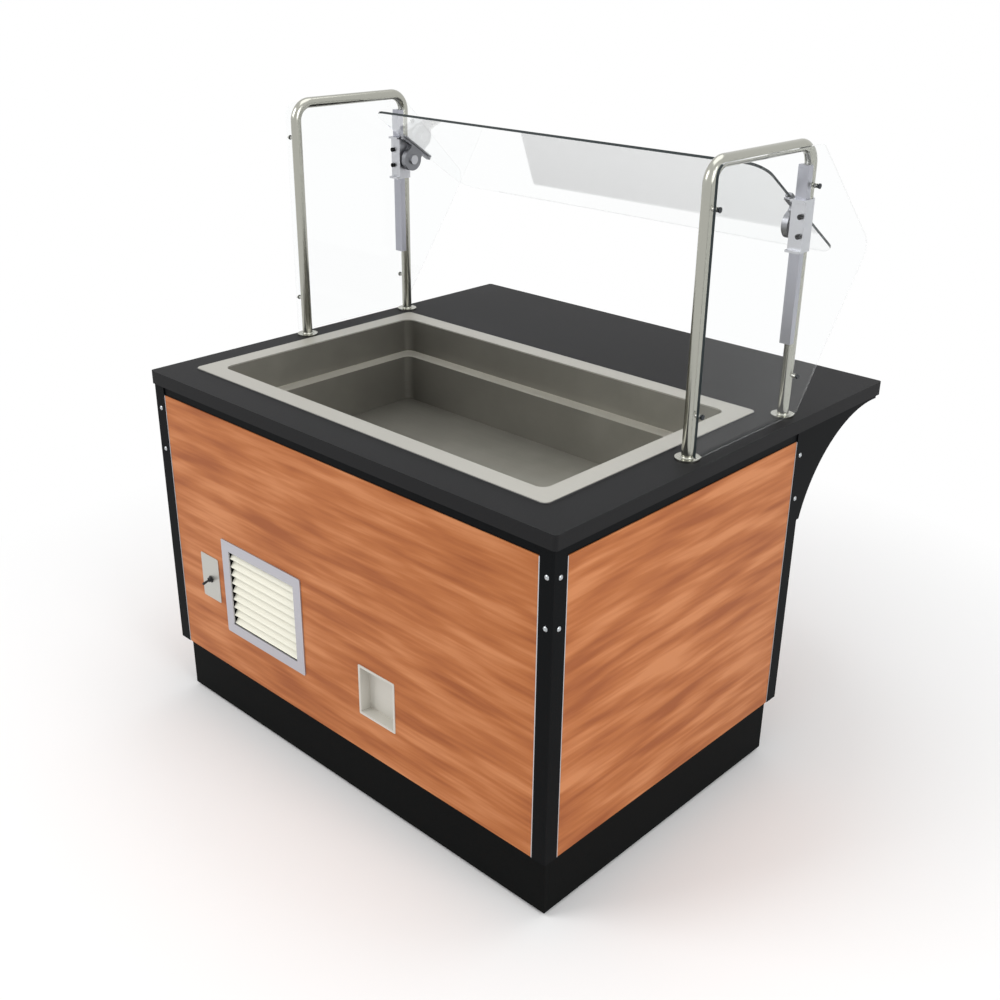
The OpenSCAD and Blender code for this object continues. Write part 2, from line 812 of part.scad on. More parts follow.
// Finned coil behind the grille
module condenser() color("#a9adaf") placed()
    translate([grille_x - cond_w / 2, cond_y, cond_z]) {
        fins = 24;
        pitch = (cond_w - 3) / fins;
        for (i = [0 : fins]) translate([i * pitch, 0, 0]) cube([i % fins == 0 ? 3 : 1, cond_t, cond_h]);
        for (row = [0 : 5], y = [cond_t / 4, 3 * cond_t / 4])
            rod_x([1, y, cond_row_z + row * cond_row_pitch], 4, cond_w - 2);
    }

// Sheet behind the coil with the ring that the fan turns in
module fan_shroud() color("#2a2c2e") placed()
    translate([grille_x, shroud_y, 0]) {
        difference() {
            block([-cond_w / 2, 0, cond_z], [cond_w / 2, 2, cond_z + cond_h]);
            rod_y([0, -1, fan_z], ring_r, 4);
        }
        difference() {
            rod_y([0, 0, fan_z], ring_r + 2, shroud_d);
            rod_y([0, -1, fan_z], ring_r, shroud_d + 2);
        }
    }

motor_y = shroud_y + shroud_d + 14;
motor_r = 38;
motor_l = 55;
shaft_r = 4;
shaft_in = 24;
stand_w = 36;
stand_y = 12;
stand_d = 31;
stand_lip = 4;
stand_foot_w = 90;
fan_set = 16;
fan_hub_r = 20;
fan_hub_l = 24;
blade_l = 84;
blade_w = 56;
blade_mid = 58;
blade_t = 2.5;
blade_pitch = 32;

// Fan motor on its stand
module fan_motor() color("#4a4d50") placed()
    translate([grille_x, motor_y, 0]) {
        difference() {
            union() {
                rod_y([0, 0, fan_z], motor_r, motor_l);
                block([-stand_w / 2, stand_y, unit_top],
                      [stand_w / 2, stand_y + stand_d, fan_z - motor_r + 5]);
                block([-stand_foot_w / 2, stand_y - stand_lip, unit_top],
                      [stand_foot_w / 2, stand_y + stand_d + stand_lip, unit_top + 4]);
            }
            rod_y([0, -1, fan_z], shaft_r + run, shaft_in + 2);
        }
    }

// Four-bladed fan with its hub and shaft
module fan_blades() color("#7c8084") placed()
    translate([grille_x, shroud_y + fan_set, fan_z]) {
        rod_y([0, -fan_hub_l / 2, 0], fan_hub_r, fan_hub_l);
        rod_y([0, 0, 0], shaft_r, motor_y - shroud_y - fan_set + shaft_in);
        for (a = [0 : 90 : 270])
            rotate([0, a, 0]) intersection() {
                translate([blade_mid, 0, 0]) rotate([blade_pitch, 0, 0])
                    cube([blade_l, blade_t, blade_w], center = true);
                rod_y([0, -15, 0], fan_r, 30);
            }
    }

// Copper suction line from the cooling tube to the compressor
module suction_line() color("#b87333") placed() {
    top = [well_shift - coil_half, well_mid_y - coil_end_y, jacket_z - coil_tail - seat];
    level = port_z + line_rise;
    x1 = comp_x - port_x;
    pipe([top, [top.x, top.y, level], [x1, top.y, level], [x1, comp_y, level],
          [x1, comp_y, port_z + seat]], coil_d / 2);
}

// Copper discharge line from the compressor to the top of the coil
module discharge_line() color("#b87333") placed() {
    x0 = comp_x + port_x;
    x1 = grille_x + cond_w / 2 + discharge_out;
    y1 = cond_y + 3 * cond_t / 4;
    level = cond_z + cond_row_z + 5 * cond_row_pitch;
    pipe([[x0, comp_y, port_z + seat], [x0, comp_y, level], [x1, comp_y, level],
          [x1, y1, level], [x1 - discharge_out + seat, y1, level]], line_r);
}

// Copper liquid line with its filter drier, from the bottom of the coil to the cooling tube
module liquid_line() color("#b87333") placed() {
    top = [well_shift - coil_half, well_mid_y + coil_end_y, jacket_z - coil_tail - seat];
    x1 = grille_x + cond_w / 2 + liquid_out;
    y1 = cond_y + cond_t / 4;
    level = unit_top + drier_up;
    low = cond_z + cond_row_z;
    pipe([top, [top.x, top.y, level], [x1, top.y, level], [x1, y1, level], [x1, y1, low],
          [x1 - liquid_out + seat, y1, low]], line_r);
    rod_x([grille_x - 20, top.y, level], drier_r, drier_l);
}

// ---------------------------------------------------------------- front face

// Aluminium frame of the vent grille
module grille_frame() color("#bfc2c3") placed() {
    in_w = grille_w - 2 * grille_border;
    in_h = grille_h - 2 * grille_border;
    wall = 2;
    translate([grille_x, 0, grille_z]) {
        front_plate(-2, 3) difference() {
            rounded([grille_w, grille_h], 5);
            square([in_w, in_h], center = true);
        }
        front_plate(1 - eps, panel_t) difference() {
            square([in_w + 2 * wall, in_h + 2 * wall], center = true);
            square([in_w, in_h], center = true);
        }
    }
}

// Sloping blades inside the grille's frame
module grille_louvres() color("#efe9d2") placed() {
    in_w = grille_w - 2 * grille_border;
    in_h = grille_h - 2 * grille_border;
    pitch = in_h / louvres;
    blade = 23;
    for (i = [0 : louvres - 1])
        translate([grille_x, panel_t / 2, grille_z - in_h / 2 + (i + 0.5) * pitch])
            rotate([louvre_tilt, 0, 0]) cube([in_w - 2 * seat, blade, 1.4], center = true);
}

// Stainless plate of the toggle switch
module switch_plate() color("#c3c4c0") placed()
    translate([switch_x, 0, 0]) front_plate(-0.5, 1.5) difference() {
        translate([0, switch_z]) rounded([switch_w, switch_h], 4);
        translate([0, toggle_z]) circle(6 + run);
    }

// Switch behind the plate, with its threaded bush and nut
module switch_body() color("#1d1d1f") placed()
    translate([switch_x, 0, toggle_z]) difference() {
        union() {
            block([-15, 1, -22], [15, 36, 22]);
            rod_y([0, -8, 0], 6, 10);
            translate([0, -0.5, 0]) rotate([90, 0, 0]) cylinder(h = 2.6, r = 9, $fn = 6);
        }
        rod_y([0, -9, 0], toggle_ball_r + run, 14);
    }

// Toggle of the switch, turned down as in use
module switch_toggle() color("#0f0f10") placed()
    translate([switch_x, toggle_y, toggle_z]) rotate([90 + toggle_swing, 0, 0]) {
        sphere(toggle_ball_r);
        cylinder(h = toggle_l, r1 = 2, r2 = toggle_tip_r);
        translate([0, 0, toggle_l]) sphere(toggle_tip_r);
    }

// Shallow stainless box let into the front panel
module service_recess() color("#bcbebc") placed()
    translate([recess_x, 0, recess_z]) {
        wall = 1.2;
        in_w = recess_w - 12;
        in_h = recess_h - 12;
        front_plate(-0.5, 1.5) difference() {
            rounded([recess_w, recess_h], 3);
            square([in_w, in_h], center = true);
        }
        difference() {
            block([-in_w / 2 - wall, 1 - eps, -in_h / 2 - wall],
                  [in_w / 2 + wall, recess_deep + wall, in_h / 2 + wall]);
            block([-in_w / 2, 0, -in_h / 2], [in_w / 2, recess_deep, in_h / 2]);
        }
    }

// ---------------------------------------------------------------- guard

// Children with a hoop's rear leg plane at x = 0 and the outside towards +X
module guard_side(side) {
    translate([guard_shift + side * guard_pitch / 2, 0, 0])
        mirror([side < 0 ? 1 : 0, 0, 0]) children();
}

// The four places where the hoops stand
module at_feet() {
    for (side = [-1, 1], y = [leg_y, leg_back_y]) guard_side(side) translate([0, y, 0]) children();
}

// Ring section of the hoop tube
module tube_section() {
    difference() {
        circle(tube_r);
        circle(tube_r - tube_wall);
    }
}

// Polished tube bent into an upside-down U
module hoop(side) color("#c8c8c0") placed()
    guard_side(side) {
        leg_l = top_z - bend_r - foot_top;
        for (y = [leg_y, leg_back_y])
            translate([0, y, foot_top]) linear_extrude(leg_l) tube_section();
        translate([0, leg_y + bend_r, top_z])
            rotate([-90, 0, 0]) linear_extrude(leg_gap - 2 * bend_r) tube_section();
        for (back = [0, 1])
            translate([0, back == 0 ? leg_y + bend_r : leg_back_y - bend_r, top_z - bend_r])
                rotate([90, 0, 90]) rotate([0, 0, back == 0 ? 90 : 0])
                    rotate_extrude(angle = 90) translate([bend_r, 0]) tube_section();
    }
module hoop_left() { hoop(-1); }
module hoop_right() { hoop(1); }

// Foot flanges, each with a spigot inside the tube and a stud in the worktop
module hoop_feet() color("#c4c4bd") placed()
    at_feet() {
        rod_z([0, 0, counter_h], foot_d / 2, foot_t);
        rod_z([0, 0, foot_top - eps], tube_r - tube_wall - 0.1, foot_spigot_l);
        rod_z([0, 0, counter_h - foot_stud_l], foot_stud_r, foot_stud_l + eps);
    }

// Flat rails on the front of the rear legs, each hollowed to fit the tube and its bend
module guide_rails() color("#a9abb0") placed()
    for (side = [-1, 1]) guard_side(side) difference() {
        block([-rail_w / 2, leg_back_y - tube_r - rail_t, counter_h + rail_low],
              [rail_w / 2, leg_back_y - tube_r + 3, counter_h + rail_high]);
        rod_z([0, leg_back_y, counter_h], tube_r + 0.05, guard_h - bend_r);
        translate([0, leg_back_y - bend_r, top_z - bend_r]) rotate([90, 0, 90])
            rotate_extrude(angle = 90) translate([bend_r, 0]) circle(tube_r + 0.05);
    }

// Clear panes outside the hoops, each with one corner reaching over the tray shelf
module end_glass() color([0.8, 0.9, 0.88, 0.35]) placed()
    for (side = [-1, 1]) guard_side(side) difference() {
        low = counter_h + end_lift;
        side_plate(end_in, glass_t)
            polygon(rounded_outline(
                [[leg_y - end_front, low],
                 [leg_back_y + end_foot, low],
                 [leg_back_y + end_reach, counter_h + end_tip_h],
                 [leg_back_y + end_head, top_z + end_top],
                 [leg_y - end_front, top_z + end_top]],
                end_radii));
        at_standoffs() rod_x([end_in - 1, 0, 0], standoff_pin_r + seat, glass_t + 2);
    }

// The standoffs' places on one hoop
module at_standoffs() {
    for (y = [leg_y, leg_back_y], h = standoff_heights) translate([0, y, counter_h + h]) children();
}

// Dark standoffs that hold the end glass off the tube
module glass_standoffs() color("#3c3e40") placed()
    for (side = [-1, 1]) guard_side(side) at_standoffs() {
        difference() {
            rod_x([tube_r - 4, 0, 0], standoff_spacer_r, end_gap + 4);
            rod_z([0, 0, -10], tube_r + 0.05, 20);
        }
        rod_x([end_in - eps, 0, 0], standoff_pin_r, glass_t + 2 * eps);
        rod_x([end_in + glass_t, 0, 0], standoff_d / 2, standoff_cap);
    }

// Aluminium clamp that slides on the rear leg and its rail, with the glass pivot on its inner side
module clamp(side) color("#b2b4b8") placed()
    guard_side(side) {
        front = leg_back_y - clamp_front;
        top = clamp_z + clamp_h;
        difference() {
            union() {
                block([-clamp_half, front, clamp_z], [clamp_half, leg_back_y, top]);
                rod_z([0, leg_back_y, clamp_z], clamp_half, clamp_h);
                for (z = [clamp_z, top - flange_h])
                    block([-clamp_half, front - clamp_lip, z], [clamp_half, leg_back_y, z + flange_h]);
                rod_x([-clamp_half - boss_l, leg_back_y, pivot_z], boss_r, clamp_half + boss_l);
            }
            rod_z([0, leg_back_y, clamp_z - 1], tube_r + run, clamp_h + 2);
            block([-rail_w / 2 - seat, leg_back_y - tube_r - rail_t - seat, clamp_z - 1],
                  [rail_w / 2 + seat, leg_back_y - tube_r + 6, top + 1]);
        }
        pin_end = -arm_in - seat - knob_t;
        rod_x([pin_end, leg_back_y, pivot_z], pivot_r, -clamp_half - boss_l - pin_end + eps);
        rod_x([pin_end, leg_back_y, pivot_z], knob_r, knob_t);
    }
module clamp_left() { clamp(-1); }
module clamp_right() { clamp(1); }

// The two black socket screws on the front of a clamp
module clamp_screws(side) color("#111112") placed()
    guard_side(side) for (h = screw_heights)
        translate([screw_out, leg_back_y - clamp_front, pivot_z + h])
            rotate([90, 0, 0]) difference() {
                cylinder(h = 6, r = screw_head_r);
                translate([0, 0, 3]) cylinder(h = 4, r = 2.9, $fn = 6);
            }
module clamp_screws_left() { clamp_screws(-1); }
module clamp_screws_right() { clamp_screws(1); }

// From the pivot to the sloping glass: X across, Y down the slope, Z square to the glass
module sloped() {
    translate([0, leg_back_y, pivot_z]) rotate([-glass_tilt, 0, 0]) children();
}

// Arms with a channel for the glass edge and a hub on the pivot
module glass_arms() color("#8c8e90") placed()
    for (side = [-1, 1]) guard_side(side) sloped() {
        low = glass_lift - glass_t / 2 - seat - jaw_t;
        high = glass_lift + glass_t / 2 + seat + jaw_t;
        difference() {
            union() {
                block([-arm_in, -arm_l / 2, low], [-arm_out, arm_l / 2, high]);
                block([-arm_in, -hub_r * 0.8, 0], [-arm_out, hub_r * 0.8, low + eps]);
                rod_x([-arm_in, 0, 0], hub_r, arm_in - arm_out);
            }
            block([-arm_in - 1, -arm_l, glass_lift - glass_t / 2 - 0.15],
                  [-glass_edge + seat, arm_l, glass_lift + glass_t / 2 + 0.15]);
            rod_x([-arm_in - 1, 0, 0], pivot_r + run, arm_in - arm_out + 2);
        }
    }

// Sloping front pane with round corners, held at both ends
module front_glass() color([0.8, 0.9, 0.88, 0.35]) placed()
    translate([guard_shift, 0, 0]) sloped()
        translate([0, glass_slope_w / 2 - glass_upper, glass_lift - glass_t / 2])
            linear_extrude(glass_t) rounded([glass_w, glass_slope_w], glass_corner_r);

// ---------------------------------------------------------------- casters

// Children at one caster's kingpin: sx is -1 at the left, back is 1 at the back
module at_caster(sx, back) placed()
    translate([sx * (body_l / 2 - caster_in_x),
               back == 0 ? caster_in_y : body_d - caster_in_y, 0]) children();

// Top plates with their bearing races and kingpins
module caster_plates() color("#b4b7b9")
    for (sx = [-1, 1], back = [0, 1]) at_caster(sx, back) {
        translate([0, 0, toe_h - plate_t]) linear_extrude(plate_t - seat) rounded([92, 86], 8);
        rod_z([0, 0, crown_top + seat], 27, race_h - seat + eps);
        rod_z([0, 0, crown_z - 6], kingpin_r, crown_t + 7);
        rod_z([0, 0, crown_z - 6], kingpin_r + 4, 6 - seat);
    }

// Caster fork with its axle
module fork() {
    half = fork_gap / 2 + fork_t;
    difference() {
        union() {
            translate([0, 0, crown_z]) linear_extrude(crown_t)
                union() {
                    circle(26);
                    translate([-half, -22]) square([2 * half, 52]);
                }
            for (x = [-half, half - fork_t]) side_plate(x, fork_t) {
                polygon([[-22, crown_z + eps], [30, crown_z + eps], [caster_trail + 15, wheel_z],
                         [caster_trail - 15, wheel_z]]);
                translate([caster_trail, wheel_z]) circle(15);
                polygon([[10, crown_z], [30, crown_z], [ear_y, ear_z + ear_r], [ear_y, ear_z - ear_r],
                         [caster_trail + 10, wheel_z]]);
                translate([ear_y, ear_z]) circle(ear_r);
            }
        }
        rod_z([0, 0, crown_z - 1], kingpin_r + run, crown_t + 2);
        rod_x([-half - 1, caster_trail, wheel_z], axle_r + run, 2 * half + 2);
        rod_x([-half - 1, ear_y, ear_z], pedal_pin_r + run, 2 * half + 2);
    }
    rod_x([-half - 4, caster_trail, wheel_z], axle_r, 2 * half + 8);
    for (x = [-half - 4, half + seat])
        rod_x([x, caster_trail, wheel_z], axle_r + 3, 4 - seat);
}
module fork_front_left() color("#b4b7b9") at_caster(-1, 0) fork();
module fork_front_right() color("#b4b7b9") at_caster(1, 0) fork();
module fork_rear_left() color("#b4b7b9") at_caster(-1, 1) fork();
module fork_rear_right() color("#b4b7b9") at_caster(1, 1) fork();

// Wheel: a core with its hub, and a rubber tread
module wheel() {
    tread = 12;
    translate([0, caster_trail, wheel_z]) rotate([0, 90, 0]) {
        difference() {
            union() {
                cylinder(h = fork_gap - 2 * seat, r = 14, center = true);
                cylinder(h = wheel_w - 8, r = wheel_r - tread - 0.1, center = true);
            }
            cylinder(h = fork_gap + 2, r = axle_r + run, center = true);
        }
        rotate_extrude() difference() {
            translate([wheel_r - tread, -wheel_w / 2]) square([tread, wheel_w]);
            for (s = [-1, 1]) translate([wheel_r, s * wheel_w / 2]) rotate(45) square(5, center = true);
        }
    }
}
module wheel_front_left() color("#2b2c2e") at_caster(-1, 0) wheel();
module wheel_front_right() color("#2b2c2e") at_caster(1, 0) wheel();
module wheel_rear_left() color("#2b2c2e") at_caster(-1, 1) wheel();
module wheel_rear_right() color("#2b2c2e") at_caster(1, 1) wheel();

// Brake pedal on a front caster's fork, shown released, with the bar that grips the tread
module brake() {
    x0 = fork_gap / 2 + fork_t + seat;
    plate_z = crown_z + 3;
    shoe = [caster_trail, wheel_z] + (wheel_r + shoe_r + 2) * [cos(35), sin(35)];
    both_ends() {
        side_plate(x0, pedal_t) {
            polygon([[ear_y - 6, ear_z], [ear_y, ear_z - 6], [shoe.x, shoe.y - 5],
                     [shoe.x + 4, shoe.y + 4], [ear_y + 20, plate_z + eps],
                     [ear_y - 4, plate_z + eps]]);
            translate([ear_y, ear_z]) circle(8);
            translate(shoe) circle(5);
        }
        rod_x([x0 - fork_t - seat + 0.2, ear_y, ear_z], pedal_pin_r, fork_t + seat);
    }
    block([-x0 - pedal_t, ear_y - 4, plate_z], [x0 + pedal_t, ear_y + 20, plate_z + pedal_t]);
    rod_x([-x0 - eps, shoe.x, shoe.y], shoe_r, 2 * x0 + 2 * eps);
}
module brake_front_left() color("#303234") at_caster(-1, 0) brake();
module brake_front_right() color("#303234") at_caster(1, 0) brake();

base_frame();
base_deck();
top_frame();
corner_posts();
front_panel();
rear_panel();
end_panels();
edge_trims();
toe_kick();
worktop();
shelf_brackets();
post_screws();
well_liner();
well_foam();
well_jacket();
cooling_tube();
drain_fitting();
drain_strainer();
drain_valve();
drain_outlet();
drain_lever();
unit_base();
compressor();
compressor_feet();
condenser();
fan_shroud();
fan_motor();
fan_blades();
suction_line();
discharge_line();
liquid_line();
grille_frame();
grille_louvres();
switch_plate();
switch_body();
switch_toggle();
service_recess();
hoop_left();
hoop_right();
hoop_feet();
guide_rails();
end_glass();
glass_standoffs();
clamp_left();
clamp_right();
clamp_screws_left();
clamp_screws_right();
glass_arms();
front_glass();
caster_plates();
fork_front_left();
fork_front_right();
fork_rear_left();
fork_rear_right();
wheel_front_left();
wheel_front_right();
wheel_rear_left();
wheel_rear_right();
brake_front_left();
brake_front_right();
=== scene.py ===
"""Looks of the mobile salad bar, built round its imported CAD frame.

Each sub-assembly is a class that dresses its CAD nodes in real finishes and adds the small pieces
that the solids leave out. Sizes are in millimetres in the classes and in metres in the meshes.
"""

import logging
import math
from collections.abc import Sequence
from dataclasses import dataclass
from enum import Enum
from functools import lru_cache

import bpy
import numpy as np
from mathutils import Matrix, Vector


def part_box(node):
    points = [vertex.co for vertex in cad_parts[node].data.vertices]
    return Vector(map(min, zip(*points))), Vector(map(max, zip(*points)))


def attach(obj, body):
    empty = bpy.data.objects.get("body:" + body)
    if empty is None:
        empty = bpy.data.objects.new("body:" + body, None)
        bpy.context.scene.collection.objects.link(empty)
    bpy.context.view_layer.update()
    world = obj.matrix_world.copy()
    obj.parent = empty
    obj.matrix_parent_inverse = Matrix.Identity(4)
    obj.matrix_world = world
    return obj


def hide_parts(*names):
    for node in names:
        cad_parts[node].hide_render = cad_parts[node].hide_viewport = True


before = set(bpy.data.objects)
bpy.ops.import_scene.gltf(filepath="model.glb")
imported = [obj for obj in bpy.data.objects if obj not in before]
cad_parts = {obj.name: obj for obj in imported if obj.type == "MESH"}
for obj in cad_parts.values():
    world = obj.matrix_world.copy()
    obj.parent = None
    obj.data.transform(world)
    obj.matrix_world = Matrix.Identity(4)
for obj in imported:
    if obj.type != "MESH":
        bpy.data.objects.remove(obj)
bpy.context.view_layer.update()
LOG = logging.getLogger("salad_bar")
MM = 0.001
# Heights of the relief of a brushed or pressed skin and of a grainy one, in metres.
SKIN_DEEP, GRAIN_DEEP = 0.0002, 0.0003
# Values between which nearly all of a noise lies.
NOISE_LOW, NOISE_HIGH = 0.3, 0.7
# Points on one quarter-circle corner, both ends counted.
CORNER_POINTS = 9
# Slope of the guard's front pane below level.
PANE_SLOPE = math.radians(34.3)
# The photograph's width and height in pixels, and the camera's sensor in millimetres.
PICTURE_PX, SENSOR_MM = 1000, 36.0
WHITE = (1.0, 1.0, 1.0, 1.0)


# ---------------------------------------------------------------- nodes and finishes


def linear(colour: str) -> tuple[float, float, float, float]:
    """Turns an sRGB hex colour into Blender's linear colour.

    Args:
        colour: Six hex digits, such as "c4784a".

    Returns:
        Linear red, green and blue, and an alpha of 1.
    """
    parts = [int(colour[i : i + 2], 16) / 255 for i in (0, 2, 4)]
    r, g, b = (c / 12.92 if c <= 0.04045 else ((c + 0.055) / 1.055) ** 2.4 for c in parts)
    return (r, g, b, 1.0)


def add_node(
    tree: bpy.types.NodeTree,
    kind: str,
    inputs: dict[str | int, object] | None = None,
    stops: Sequence[tuple[float, str]] = (),
    **settings: object,
) -> bpy.types.Node:
    """Adds a node with its settings, values and links.

    Args:
        tree: The material's or world's node tree.
        kind: Blender's name of the node type.
        inputs: A value, or a socket to link from, for each named or numbered input.
        stops: Places and hex colours of a colour ramp.
        **settings: The node's own properties.

    Returns:
        The new node.
    """
    node = tree.nodes.new(kind)
    for name, value in settings.items():
        setattr(node, name, value)
    for key, value in (inputs or {}).items():
        if isinstance(value, bpy.types.NodeSocket):
            tree.links.new(value, node.inputs[key])
        else:
            node.inputs[key].default_value = value
    for i, (place, colour) in enumerate(stops):
        ramp = node.color_ramp.elements
        stop = ramp[i] if i < 2 else ramp.new(place)
        stop.position, stop.color = place, linear(colour)
    return node


class Along(Enum):
    """The direction that a brushed, drawn or printed pattern runs in."""

    LENGTH = (1.0, 0.0, 0.0)
    DEPTH = (0.0, 1.0, 0.0)
    HEIGHT = (0.0, 0.0, 1.0)


@dataclass(frozen=True)
class Finish:
    """A surface finish with one colour; the finishes below add their patterns to it.

    Attributes:
        name: The material's name.
        colour: Its sRGB colour in hex.
        roughness: How far it blurs what it mirrors.
        metallic: 1 for bare metal.
        ior: Index of refraction where it isn't metal.
        gloss: Specular level; 0.5 is a smooth new surface, and less is a dead, textured one.
    """

    name: str
    colour: str
    roughness: float
    metallic: float = 0.0
    ior: float = 1.5
    gloss: float = 0.5

    def make(self) -> bpy.types.Material:
        """Makes the material: a Principled shader, then the finish's own pattern.

        Returns:
            The new material.
        """
        material = bpy.data.materials.new(self.name)
        material.use_nodes = True
        tree = material.node_tree
        shader = tree.nodes["Principled BSDF"]
        shader.inputs["Base Color"].default_value = linear(self.colour)
        shader.inputs["Roughness"].default_value = self.roughness
        shader.inputs["Metallic"].default_value = self.metallic
        shader.inputs["IOR"].default_value = self.ior
        shader.inputs["Specular IOR Level"].default_value = self.gloss
        place = add_node(tree, "ShaderNodeTexCoord").outputs["Object"]
        self.pattern(tree, shader, place)
        return material

    def pattern(
        self, tree: bpy.types.NodeTree, shader: bpy.types.Node, place: bpy.types.NodeSocket
    ) -> None:
        """Adds the finish's pattern; a plain finish has none.

        Args:
            tree: The material's node tree.
            shader: Its Principled shader.
            place: Socket of the place on the object, in metres.
        """


@dataclass(frozen=True)
class WoodLaminate(Finish):
    """High-pressure laminate printed with straight-sawn cherry grain.

    The print gives long soft streaks along the board, and the press plate a faint pore texture.

    Attributes:
        light: Colour of the pale streaks.
        dark: Colour of the dark streaks.
        sway_mm: How far the streaks wander up and down.
        broad_mm: Length and height of a broad streak.
        fine_mm: Length and height of a fine line.
        pore_mm: Length and height of a pore, drawn coarser than real so that it shows.
        wander_mm: Length and height over which the streaks wander once.
        fine_share: How much of the print the fine lines make.
        span: Values of the print at which it is darkest and palest.
        relief: Strength of the bump that the pores give.
    """

    light: str = "c98252"
    dark: str = "9c5529"
    sway_mm: float = 9.0
    broad_mm: tuple[float, float] = (290.0, 38.0)
    fine_mm: tuple[float, float] = (170.0, 9.0)
    pore_mm: tuple[float, float] = (16.0, 1.2)
    wander_mm: tuple[float, float] = (420.0, 160.0)
    fine_share: float = 0.26
    span: tuple[float, float] = (0.37, 0.63)
    relief: float = 0.06

    def streaks(
        self,
        tree: bpy.types.NodeTree,
        place: bpy.types.NodeSocket,
        size_mm: tuple[float, float],
        detail: float,
    ) -> bpy.types.NodeSocket:
        """Gives noise stretched to a length along X and a height along Z.

        Args:
            tree: The material's node tree.
            place: Place on the board, flattened to X and Z.
            size_mm: Length and height of a streak.
            detail: Number of finer layers in it.

        Returns:
            The socket of the noise.
        """
        scale = (1 / size_mm[0] / MM, 1.0, 1 / size_mm[1] / MM)
        drawn = add_node(tree, "ShaderNodeMapping", {"Vector": place, "Scale": scale})
        return add_node(
            tree,
            "ShaderNodeTexNoise",
            {"Vector": drawn.outputs[0], "Scale": 1.0, "Detail": detail, "Roughness": 0.45},
        ).outputs[0]

    def pattern(
        self, tree: bpy.types.NodeTree, shader: bpy.types.Node, place: bpy.types.NodeSocket
    ) -> None:
        """Adds streaks along the board, which runs along X on the long sides and Y at the ends.

        Each point's height is first shifted by a slow noise, which swings by half each way.

        Args:
            tree: The material's node tree.
            shader: Its Principled shader.
            place: Socket of the place on the object, in metres.
        """
        split = add_node(tree, "ShaderNodeSeparateXYZ", {0: place})
        run = add_node(
            tree, "ShaderNodeMath", {0: split.outputs[0], 1: split.outputs[1]}, operation="ADD"
        )
        flat = add_node(tree, "ShaderNodeCombineXYZ", {0: run.outputs[0], 2: split.outputs[2]})
        sway = self.streaks(tree, flat.outputs[0], self.wander_mm, 1.0)
        height = add_node(
            tree,
            "ShaderNodeMath",
            {0: sway, 1: self.sway_mm * MM * 2, 2: split.outputs[2]},
            operation="MULTIPLY_ADD",
        )
        bent = add_node(
            tree, "ShaderNodeCombineXYZ", {0: run.outputs[0], 2: height.outputs[0]}
        ).outputs[0]
        both = add_node(
            tree,
            "ShaderNodeMix",
            {
                0: self.fine_share,
                2: self.streaks(tree, bent, self.broad_mm, 2.0),
                3: self.streaks(tree, bent, self.fine_mm, 3.0),
            },
            data_type="FLOAT",
        )
        ramp = add_node(
            tree,
            "ShaderNodeValToRGB",
            {0: both.outputs[0]},
            stops=((self.span[0], self.dark), (self.span[1], self.light), (0.5, self.colour)),
        )
        tree.links.new(ramp.outputs[0], shader.inputs["Base Color"])
        pores = self.streaks(tree, bent, self.pore_mm, 2.0)
        bump = add_node(
            tree,
            "ShaderNodeBump",
            {"Height": pores, "Strength": self.relief, "Distance": SKIN_DEEP},
        )
        tree.links.new(bump.outputs[0], shader.inputs["Normal"])


@dataclass(frozen=True)
class Speckled(Finish):
    """A colour with fine grains of a second one, as in solid surfacing, cast or galvanised metal.

    Attributes:
        fleck: Colour of the grains.
        grain_mm: Size of a grain.
        spread: How far apart the two colours' thresholds lie; small is crisp.
        relief: Strength of the bump that the same grain gives.
    """

    fleck: str = "808080"
    grain_mm: float = 1.5
    spread: float = 0.3
    relief: float = 0.0

    def pattern(
        self, tree: bpy.types.NodeTree, shader: bpy.types.Node, place: bpy.types.NodeSocket
    ) -> None:
        """Adds the grains to the colour and, where the finish has relief, to the bump.

        Args:
            tree: The material's node tree.
            shader: Its Principled shader.
            place: Socket of the place on the object, in metres.
        """
        grains = add_node(
            tree,
            "ShaderNodeTexNoise",
            {"Vector": place, "Scale": 1 / self.grain_mm / MM, "Detail": 4.0, "Roughness": 0.6},
        )
        ramp = add_node(
            tree,
            "ShaderNodeValToRGB",
            {0: grains.outputs[0]},
            stops=((0.5 - self.spread / 2, self.colour), (0.5 + self.spread / 2, self.fleck)),
        )
        tree.links.new(ramp.outputs[0], shader.inputs["Base Color"])
        if self.relief:
            bump = add_node(
                tree,
                "ShaderNodeBump",
                {"Height": grains.outputs[0], "Strength": self.relief, "Distance": GRAIN_DEEP},
            )
            tree.links.new(bump.outputs[0], shader.inputs["Normal"])


